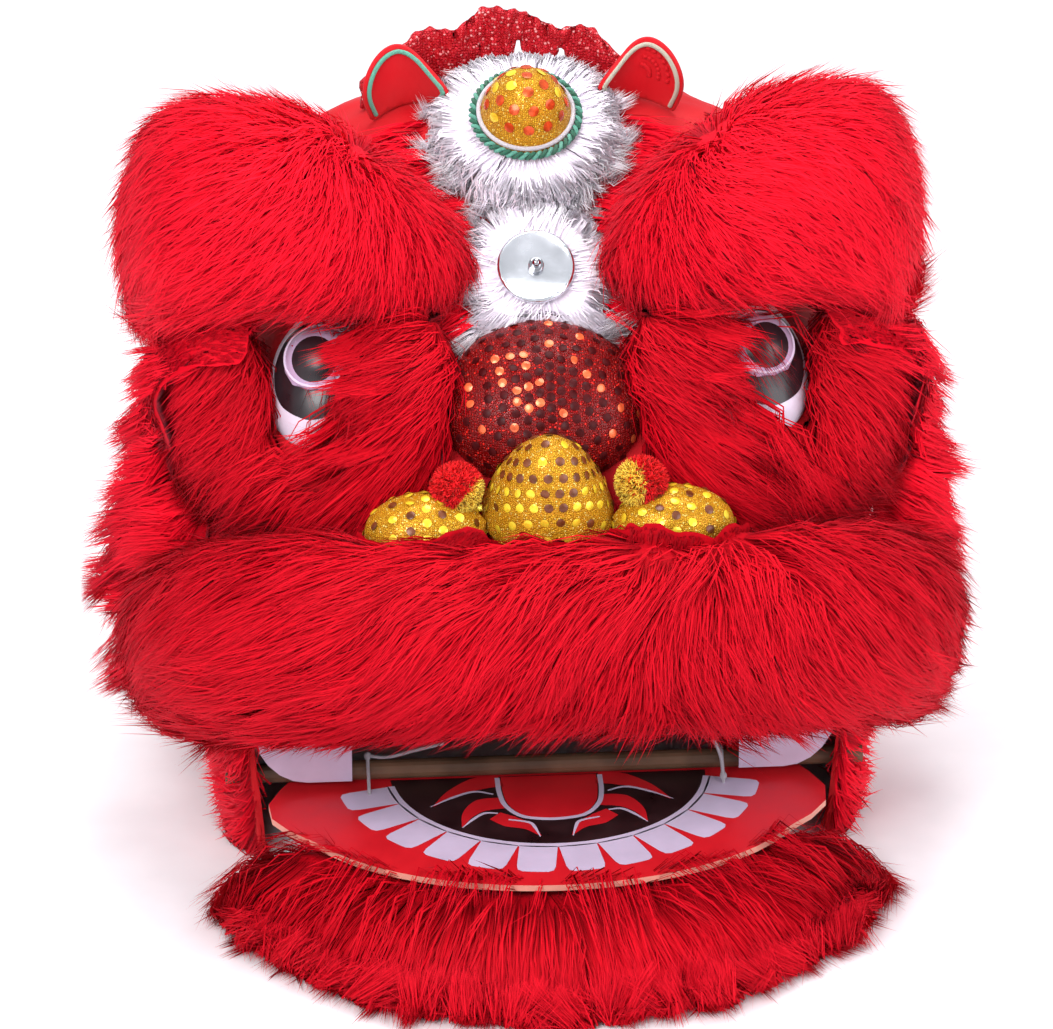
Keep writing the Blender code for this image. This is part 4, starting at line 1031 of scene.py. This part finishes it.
# the orange sequins on the bridge and the yellow ones on the tip, nostrils and horn are painted glints
darkLooks = (spotDark, spotGlint)
tipLooks = (spotBrown, spotYellowGlint)
nostrilLooks = (spotYellowGlint, spotBrown)
hornLooks = (spotRed, spotYellowGlint)
hornSpots = {**spots, "spacing": 0.0082, "radius": 0.0026}
for name, slot, mesh, axis, rows, looks, pick, keep in (
    ("bridge", "nose_bridge", noseBridge, acrossNose, spots, darkLooks, pickSome(0.22), facesOut),
    ("tip", "nose_tip", noseTip, (0, 0.34, 1), spots, tipLooks, pickTip, facesOut),
    ("nostril", "nostril_left", nostrilLeft, acrossNose, spots, nostrilLooks, pickSome(0.3), facesOut),
    ("nostril", "nostril_right", nostrilRight, acrossNose, spots, nostrilLooks, pickSome(0.3), facesOut),
    ("horn", "horn", hornDome, (0, -0.5, 1), hornSpots, hornLooks, pickSome(0.25), aboveBraid),
):  # fmt: skip
    side = slot.split("_")[1].title() if name == "nostril" else ""
    sewSpots(name + "Sequins" + side, mesh, axis, rows, looks, pick, keep)

# braid and white band round the horn's foot
trimPoints = np.array([v.co[:] for v in nodes["horn_trim"].data.vertices])
trimHeart = trimPoints.mean(0)
values, vectors = np.linalg.eigh(np.cov((trimPoints - trimHeart).T))
trimAxis = vectors[:, 0] * np.sign(vectors[2, 0])
trimRadius = float(np.linalg.norm(trimPoints - trimHeart, axis=1).mean())
braid = {"loops": 26, "swing": 0.0011, "strand": 0.0010, "band": 0.0011, "bandIn": 0.0026, "bandUp": 0.002}
_, trimU, trimV = axesFor(trimAxis)
trimU, trimV = np.array(trimU), np.array(trimV)
mintCord = clothLook("mintCord", (0.16, 0.62, 0.45), 2500.0, 0.1)
greenCord = clothLook("greenCord", (0.01, 0.20, 0.11), 2500.0, 0.1)
for label, look, phase in (("Light", mintCord, 0.0), ("Dark", greenCord, math.pi)):
    turn = np.linspace(0, 2 * math.pi, braid["loops"] * 10, endpoint=False)
    twist = turn * braid["loops"] + phase
    around = trimU[None] * np.cos(turn)[:, None] + trimV[None] * np.sin(turn)[:, None]
    path = trimHeart + around * (trimRadius + braid["swing"] * np.cos(twist))[:, None]
    path = path + trimAxis[None] * (braid["swing"] * np.sin(twist))[:, None]
    verts, faces = tubeAlong(path, braid["strand"], 6, closed=True)
    addPiece("hornBraid" + label, meshFrom(verts, faces), look, "head", stands="horn_trim")
whiteCord = clothLook("whiteCord", (0.85, 0.82, 0.88), 1800.0, 0.0)
turn = np.linspace(0, 2 * math.pi, 64, endpoint=False)
around = trimU[None] * np.cos(turn)[:, None] + trimV[None] * np.sin(turn)[:, None]
path = trimHeart + trimAxis * braid["bandUp"] + around * (trimRadius - braid["bandIn"])
verts, faces = tubeAlong(path, braid["band"], 8, closed=True)
addPiece("hornBand", meshFrom(verts, faces), whiteCord, "head")

silver = paintLook("mirrorSilver", (0.78, 0.81, 0.86), 0.24, 0.06, 40.0, 1.0)
chrome = paintLook("knobChrome", (0.42, 0.43, 0.46), 0.10, 0.1, 60.0, 1.0)
addPiece("mirrorDisc", smoothCopy("mirror_disc", 2, crease=35), silver, "head", stands="mirror_disc")
addPiece("mirrorKnob", smoothCopy("mirror_knob", 2), chrome, "head", stands="mirror_knob")

whitePlate = paintLook("whitePlate", (0.80, 0.74, 0.88), 0.35, 0.04)
eyeLilac = paintLook("eyeLilac", (0.55, 0.42, 0.62), 0.18, 0.06)
eyePale = paintLook("eyeRim", (0.78, 0.68, 0.85), 0.3, 0.05)
blackPaint = paintLook("blackPaint", (0.018, 0.010, 0.014), 0.3, 0.2)
eye = {"pupil": 0.0105, "pupilDrop": 0.0035, "rim": 0.0007, "rise": 0.0004}
# the black liner's width round the ball, by the angle from straight outward, in degrees and metres
liner = (
    (80, 0.0), (62, 0.0025), (35, 0.0045), (0, 0.0055), (-35, 0.0080),
    (-65, 0.0120), (-95, 0.0135), (-125, 0.0110), (-150, 0.0050), (-168, 0.0),
)  # fmt: skip
for side, sign in sides.items():
    plateMesh = smoothCopy("eye_plate_" + side, 2)
    ballMesh = smoothCopy("eyeball_" + side, 2)
    addPiece("eyePlate" + side.title(), plateMesh, whitePlate, "head", stands="eye_plate_" + side)
    addPiece("eyeball" + side.title(), ballMesh, eyeLilac, "head", stands="eyeball_" + side)
    platePoints, _ = arraysOf(plateMesh)
    values, vectors = np.linalg.eigh(np.cov((platePoints - platePoints.mean(0)).T))
    out = Vector(vectors[:, 0] * -np.sign(vectors[1, 0]))
    up = (Vector((0, 0, 1)) - out * out.z).normalized()
    outer = up.cross(out).normalized()
    outer = outer if outer.x * sign > 0 else -outer
    low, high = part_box("eyeball_" + side)
    heart = (low + high) / 2
    radius = (high.x - low.x) / 2
    plateTree, ballTree = treeFrom(plateMesh), treeFrom(ballMesh)

    def onto(tree, u, w, lift, heart=heart, out=out, up=up, outer=outer):
        start = heart + outer * u + up * w + out * 0.05
        spot, facing, _, _ = tree.ray_cast(start, -out)
        return None if spot is None else spot + out * lift

    angles = [row[0] for row in liner][::-1]
    widths = [row[1] for row in liner][::-1]
    verts, faces = [], []
    for degrees in np.linspace(-168, 80, 60):
        wide = float(np.interp(degrees, angles, widths))
        t = math.radians(degrees)
        row = []
        for part in np.linspace(0, 1, 5):
            far = radius * 0.93 + wide * part + 0.001 * (part > 0)
            spot = None
            while spot is None and far > 0.004:
                spot = onto(plateTree, math.cos(t) * far, math.sin(t) * far, eye["rise"])
                far -= 0.0007
            row.append(spot)
        verts.append(row)
    flat = [tuple(p) for row in verts for p in row]
    for i in range(len(verts) - 1):
        for k in range(4):
            faces.append((i * 5 + k, i * 5 + k + 1, i * 5 + k + 6, i * 5 + k + 5))
    addPiece("eyeLiner" + side.title(), meshFrom(flat, faces), blackPaint, "head")
    verts, faces = [tuple(onto(ballTree, -0.001, -eye["pupilDrop"], eye["rise"]))], []
    for ring in range(1, 5):
        for k in range(32):
            t = 2 * math.pi * k / 32
            far = eye["pupil"] * ring / 4
            u, w = -0.001 + math.cos(t) * far, -eye["pupilDrop"] + math.sin(t) * far
            spot = onto(ballTree, u, w, eye["rise"])
            verts.append(tuple(spot if spot is not None else verts[-1]))
    for k in range(32):
        m = (k + 1) % 32
        faces.append((0, 1 + k, 1 + m))
        for ring in range(3):
            near, far = 1 + ring * 32, 1 + (ring + 1) * 32
            faces.append((near + k, far + k, far + m, near + m))
    addPiece("pupil" + side.title(), meshFrom(verts, faces), blackPaint, "head")
    rim = []
    for t in np.linspace(0, 2 * math.pi, 48, endpoint=False):
        far, spot = radius * 0.97, None
        while spot is None:
            spot = onto(ballTree, math.cos(t) * far, math.sin(t) * far, 0.0002)
            far -= 0.0004
        rim.append(tuple(spot))
    rimMesh = meshFrom(*tubeAlong(rim, eye["rim"], 6, closed=True))
    addPiece("eyeRim" + side.title(), rimMesh, eyePale, "head")

# ears with a cord inside the rim, and gathers in the right one
creamCord = clothLook("creamCord", (0.72, 0.70, 0.55), 2000.0, 0.1)
earCords = {"left": mintCord, "right": creamCord}
earWork = {
    "cordShare": 0.84, "cord": 0.0011, "rise": 0.0008,
    "rows": 3, "puffs": 7, "outer": 0.013, "rowStep": 0.0042,
    "puff": ((-0.0014, 0.0003), (-0.0007, 0.0012), (0.0007, 0.0012), (0.0014, 0.0003)),
}  # fmt: skip


def fromFront(tree, x, y, z):
    # where a line from just in front meets the ear
    return tree.ray_cast(Vector((x, y - 0.05, z)), Vector((0, 1, 0)))[0]


for side in sides:
    earMesh = smoothCopy("ear_" + side, 2)
    ear = addPiece("ear" + side.title(), earMesh, redCloth, "head", stands="ear_" + side)
    earPoints, _ = arraysOf(earMesh)
    earTree = treeFrom(earMesh)
    heart = (earPoints.min(0) + earPoints.max(0)) / 2
    rimLine = []
    for degrees in np.linspace(-35, 215, 26):
        t = math.radians(degrees)
        way = np.array((math.cos(t), 0, math.sin(t)))
        far = earPoints[np.argmax((earPoints - heart) @ way)]
        inside = heart + (far - heart) * earWork["cordShare"]
        spot = fromFront(earTree, inside[0], heart[1], inside[2])
        if spot is not None:
            rimLine.append((spot.x, spot.y - earWork["rise"], spot.z))
    cordMesh = meshFrom(*tubeAlong(curveThrough(rimLine, 3), earWork["cord"], 8))
    addPiece("earCord" + side.title(), cordMesh, earCords[side], "head")
    if side == "left":
        continue
    puffs = []
    for row in range(earWork["rows"]):
        for k in range(earWork["puffs"]):
            t = math.radians(-12 + k * 14)
            far = earWork["outer"] - row * earWork["rowStep"]
            spot = fromFront(earTree, heart[0] + math.cos(t) * far, heart[1], heart[2] + math.sin(t) * far)
            if spot is None:
                continue
            along = Vector((-math.sin(t), 0, math.cos(t)))
            line = [spot + along * step for step, _ in earWork["puff"]]
            puffs.append(tubeAlong(line, [radius for _, radius in earWork["puff"]], 8))
    if puffs:
        addPiece("earGathers" + side.title(), joined(puffs), redCloth, "head")

# crest: gathered cloth with fine puckers
crestCloth = sequinLook(
    "crestCloth", (0.45, 0.006, 0.012), (0.70, 0.02, 0.04), (1.0, 0.35, 0.35), 700.0, 0.1
)  # fmt: skip
crestMesh = smoothCopy("crest_ruffle", 2)
crestPoints, crestFaces = arraysOf(crestMesh)
crestNormals = vertexNormals(crestPoints, crestFaces)
foot = crestPoints[:, 2].min()
lift = np.clip((crestPoints[:, 2] - foot) / 0.03, 0, 1)
gathers = 0.0009 * lift * np.sin(crestPoints[:, 0] / 0.0011 + 2 * np.sin(crestPoints[:, 2] / 0.004))
pucker = gathers + 0.0007 * np.sin(crestPoints[:, 2] / 0.0016)
crestPoints = crestPoints + crestNormals * pucker[:, None]
crestMesh.vertices.foreach_set("co", np.ascontiguousarray(crestPoints, np.float32).ravel())
crest = addPiece("crestRuffle", crestMesh, crestCloth, "head", stands="crest_ruffle")

woodLook = paintLook("barWood", (0.17, 0.085, 0.045), 0.6, 0.3, 30.0)
toothLook = paintLook("toothPlate", (0.60, 0.5, 0.66), 0.35, 0.05)
redPaint = paintLook("redPaint", (0.72, 0.012, 0.022), 0.38, 0.05)
creamEdge = paintLook("creamEdge", (0.75, 0.33, 0.25), 0.6, 0.08)
whitePaint = paintLook("whitePaint", (0.68, 0.60, 0.80), 0.35, 0.04)
mouthPaint = paintLook("mouthPaint", (0.028, 0.008, 0.010), 0.35, 0.2)
for node, looks in (
    ("mouth_bar", [woodLook]), ("jaw_board", [redPaint, creamEdge]),
    ("corner_tooth_left", [toothLook]), ("corner_tooth_right", [toothLook]),
):  # fmt: skip
    nodes[node].data.materials.clear()
    for look in looks:
        nodes[node].data.materials.append(look)
for polygon in nodes["jaw_board"].data.polygons:
    polygon.material_index = int(abs(polygon.normal.z) < 0.5)

# the printed mouth on the board: x across, f forward of the bar's line
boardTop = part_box("jaw_board")[1].z
mouth = {
    "middle": 0.0015, "inner": (0.0720, 0.0650), "outer": (0.0985, 0.0905),
    "teeth": 12, "from": 7.0, "to": 173.0, "gap": 1.5, "layer": 0.00012,
}  # fmt: skip


def inlay(name, outlines, layer, look):
    bm = bmesh.new()
    height = boardTop + mouth["layer"] * layer
    for outline in outlines:
        face = bm.faces.new([bm.verts.new((mouth["middle"] + x, barY - f, height)) for x, f in outline])
        face.normal_update()
        if face.normal.z < 0:
            face.normal_flip()
    bmesh.ops.triangulate(bm, faces=bm.faces[:], ngon_method="EAR_CLIP")
    mesh = bpy.data.meshes.new(name)
    bm.to_mesh(mesh)
    bm.free()
    return addPiece(name, mesh, look, "jaw", flat=True)


def onArch(degrees, depth):
    t = math.radians(degrees)
    (a, b), (c, d) = mouth["inner"], mouth["outer"]
    return (a + (c - a) * depth) * math.cos(t), (b + (d - b) * depth) * math.sin(t)


def stroke(points, widths):
    # a tapered brush stroke as an outline
    line = curveThrough([(x, f, 0) for x, f in points], 6)
    wide = np.interp(np.linspace(0, 1, len(line)), np.linspace(0, 1, len(widths)), widths)
    ahead = unit(np.gradient(line, axis=0))
    beside = np.stack([-ahead[:, 1], ahead[:, 0]], 1) * wide[:, None] / 2
    return [tuple(p) for p in line[:, :2] + beside] + [tuple(p) for p in (line[:, :2] - beside)[::-1]]


inlay("mouthPrint", [[onArch(t, 0.04) for t in np.linspace(2, 178, 60)]], 1, mouthPaint)
# the gum line, then each tooth with rounded outer corners: degrees in from its edge, and depth
arch = np.linspace(mouth["from"], mouth["to"], 60)
teeth = [[onArch(t, 0.0) for t in arch] + [onArch(t, 0.13) for t in arch[::-1]]]
toothStep = (mouth["to"] - mouth["from"]) / mouth["teeth"]
gap = mouth["gap"]
toothCorner = ((0.2, 0.11), (gap, 0.82), (gap + 0.6, 0.95), (gap + 2.0, 1.0))
for k in range(mouth["teeth"]):
    a = mouth["from"] + k * toothStep
    b = a + toothStep
    outline = [onArch(a + inward, depth) for inward, depth in toothCorner]
    outline += [onArch(t, 1.0) for t in np.linspace(a + gap + 3.0, b - gap - 3.0, 4)]
    outline += [onArch(b - inward, depth) for inward, depth in toothCorner[::-1]]
    teeth.append(outline)
inlay("teethPrint", teeth, 2, whitePaint)
tongueSide = ((0.0050, 0.0428), (0.0150, 0.0395), (0.0215, 0.030), (0.0236, 0.018), (0.0238, 0.004))
tongueLine = [(-x, f) for x, f in tongueSide[::-1]] + list(tongueSide)
tongueInside = curveThrough([(x * 0.93, f - 0.0008, 0) for x, f in tongueLine], 6)
inlay("tonguePrint", [tongueInside[:, :2].tolist()], 3, redPaint)
inlay("tongueOutline", [stroke(tongueLine, [0.0023] * 3)], 4, whitePaint)
flames = (
    (
        ((-0.0225, 0.006), (-0.034, 0.009), (-0.0455, 0.017), (-0.0547, 0.028)),
        (0.011, 0.011, 0.006, 0.0006),
    ),
    (
        ((-0.0225, 0.027), (-0.032, 0.0285), (-0.039, 0.0365), (-0.0425, 0.0475)),
        (0.010, 0.011, 0.006, 0.0006),
    ),
    (
        ((-0.0270, 0.0385), (-0.0205, 0.0440), (-0.0125, 0.0490), (-0.0072, 0.0580)),
        (0.008, 0.010, 0.006, 0.0006),
    ),
)
flameEdges = (
    ((-0.0265, 0.0190), (-0.0350, 0.0160), (-0.0450, 0.0205), (-0.0560, 0.0285)),
    ((-0.0255, 0.0365), (-0.0315, 0.0360), (-0.0370, 0.0410), (-0.0425, 0.0485)),
    ((-0.0210, 0.0425), (-0.0120, 0.0455), (-0.0095, 0.0500), (-0.0075, 0.0590)),
)
red, white = [], []
edgeWidths = (0.0010, 0.0016, 0.0016, 0.0004)
for mirror in (1, -1):
    red += [stroke([(x * mirror, f) for x, f in points], widths) for points, widths in flames]
    white += [stroke([(x * mirror, f) for x, f in points], edgeWidths) for points in flameEdges]
inlay("flamePrint", red, 3, redPaint)
inlay("flameEdges", white, 4, whitePaint)

string = clothLook("whiteString", (0.75, 0.72, 0.8), 2500.0, 0.1)
tie = {"spacing": 0.082, "width": 0.0016, "knot": 0.0026, "near": 0.0017}
# each string's loose end from its knot, from the bar's line
tails = {
    "left": ((0, 0, 0.0074), (0.009, -0.003, 0.008), (0.021, -0.005, 0.012), (0.035, -0.006, 0.016)),
    "right": ((0, -0.0135, -0.002), (-0.002, -0.012, 0.010), (-0.009, -0.010, 0.023), (-0.02, -0.008, 0.031)),
}
for side, sign in sides.items():
    line = np.array((sign * tie["spacing"], barY, barZ)) + curveThrough(tails[side], 7)
    bm = bmesh.new()
    bm.from_mesh(smoothCopy("jaw_tie_" + side, 1))
    loose = []
    for vert in bm.verts:
        pastKnot = np.linalg.norm(line[0] - vert.co) > tie["knot"]
        if pastKnot and np.linalg.norm(line[2:] - vert.co, axis=1).min() < tie["near"]:
            loose.append(vert)
    bmesh.ops.delete(bm, geom=loose, context="VERTS")
    loopMesh = bpy.data.meshes.new("loop")
    bm.to_mesh(loopMesh)
    bm.free()
    addPiece("jawTie" + side.title(), loopMesh, string, "jaw", stands="jaw_tie_" + side)
    tailMesh = meshFrom(*tubeAlong(line, tie["width"] / 2, 8))
    tail = addPiece("tieTail" + side.title(), tailMesh, string, "jaw")
    length = float(np.linalg.norm(np.diff(line, axis=0), axis=1).sum())
print("pieces done")

stage = {"floor": (0.86, 0.86, 0.88), "size": 6.0}
bpy.ops.mesh.primitive_plane_add(size=stage["size"])
floor = bpy.context.active_object
floor.name = "floor"
floor.location.z = -0.0005
floor.data.materials.append(paintLook("floorPaint", stage["floor"], 0.7, 0.01))

camera = {
    "azimuth": -4.0, "elevation": 28.0, "distance": 3.6, "target": (-0.0062, 0.0, 0.1529), "lens": 267.8,
}  # fmt: skip
view = bpy.data.cameras.new("view")
viewer = bpy.data.objects.new("viewer", view)
bpy.context.scene.collection.objects.link(viewer)
bpy.context.scene.camera = viewer
view.lens = camera["lens"]
view.sensor_width = 36.0
a, e = math.radians(camera["azimuth"]), math.radians(camera["elevation"])
back = Vector((math.sin(a) * math.cos(e), -math.cos(a) * math.cos(e), math.sin(e)))
viewer.location = Vector(camera["target"]) + back * camera["distance"]
viewer.rotation_mode = "QUATERNION"
viewer.rotation_quaternion = (-back).to_track_quat("-Z", "Y")

lights = (
    ("key", (-0.7, -1.2, 1.3), 1.0, 26.0, (1.0, 0.97, 0.98)),
    ("fill", (1.2, -1.0, 0.8), 1.2, 13.0, (0.97, 0.97, 1.0)),
    ("top", (0.1, 0.3, 1.6), 1.0, 15.0, (1.0, 1.0, 1.0)),
)
for name, place, size, power, tint in lights:
    lamp = bpy.data.lights.new(name, "AREA")
    lamp.shape = "DISK"
    lamp.size = size
    lamp.energy = power
    lamp.color = tint
    obj = bpy.data.objects.new(name, lamp)
    bpy.context.scene.collection.objects.link(obj)
    obj.location = place
    obj.rotation_mode = "QUATERNION"
    obj.rotation_quaternion = (Vector((0, 0, 0.15)) - Vector(place)).to_track_quat("-Z", "Y")
world = bpy.data.worlds.new("room")
bpy.context.scene.world = world
world.use_nodes = True
world.node_tree.nodes["Background"].inputs["Color"].default_value = (0.95, 0.95, 1.0, 1)
world.node_tree.nodes["Background"].inputs["Strength"].default_value = 0.75
bpy.context.scene.view_settings.view_transform = "Standard"

added = [item for item in bpy.context.scene.objects if item.type == "MESH" and item.name not in nodes]
print("triangles", sum(len(p.vertices) - 2 for item in added for p in item.data.polygons))
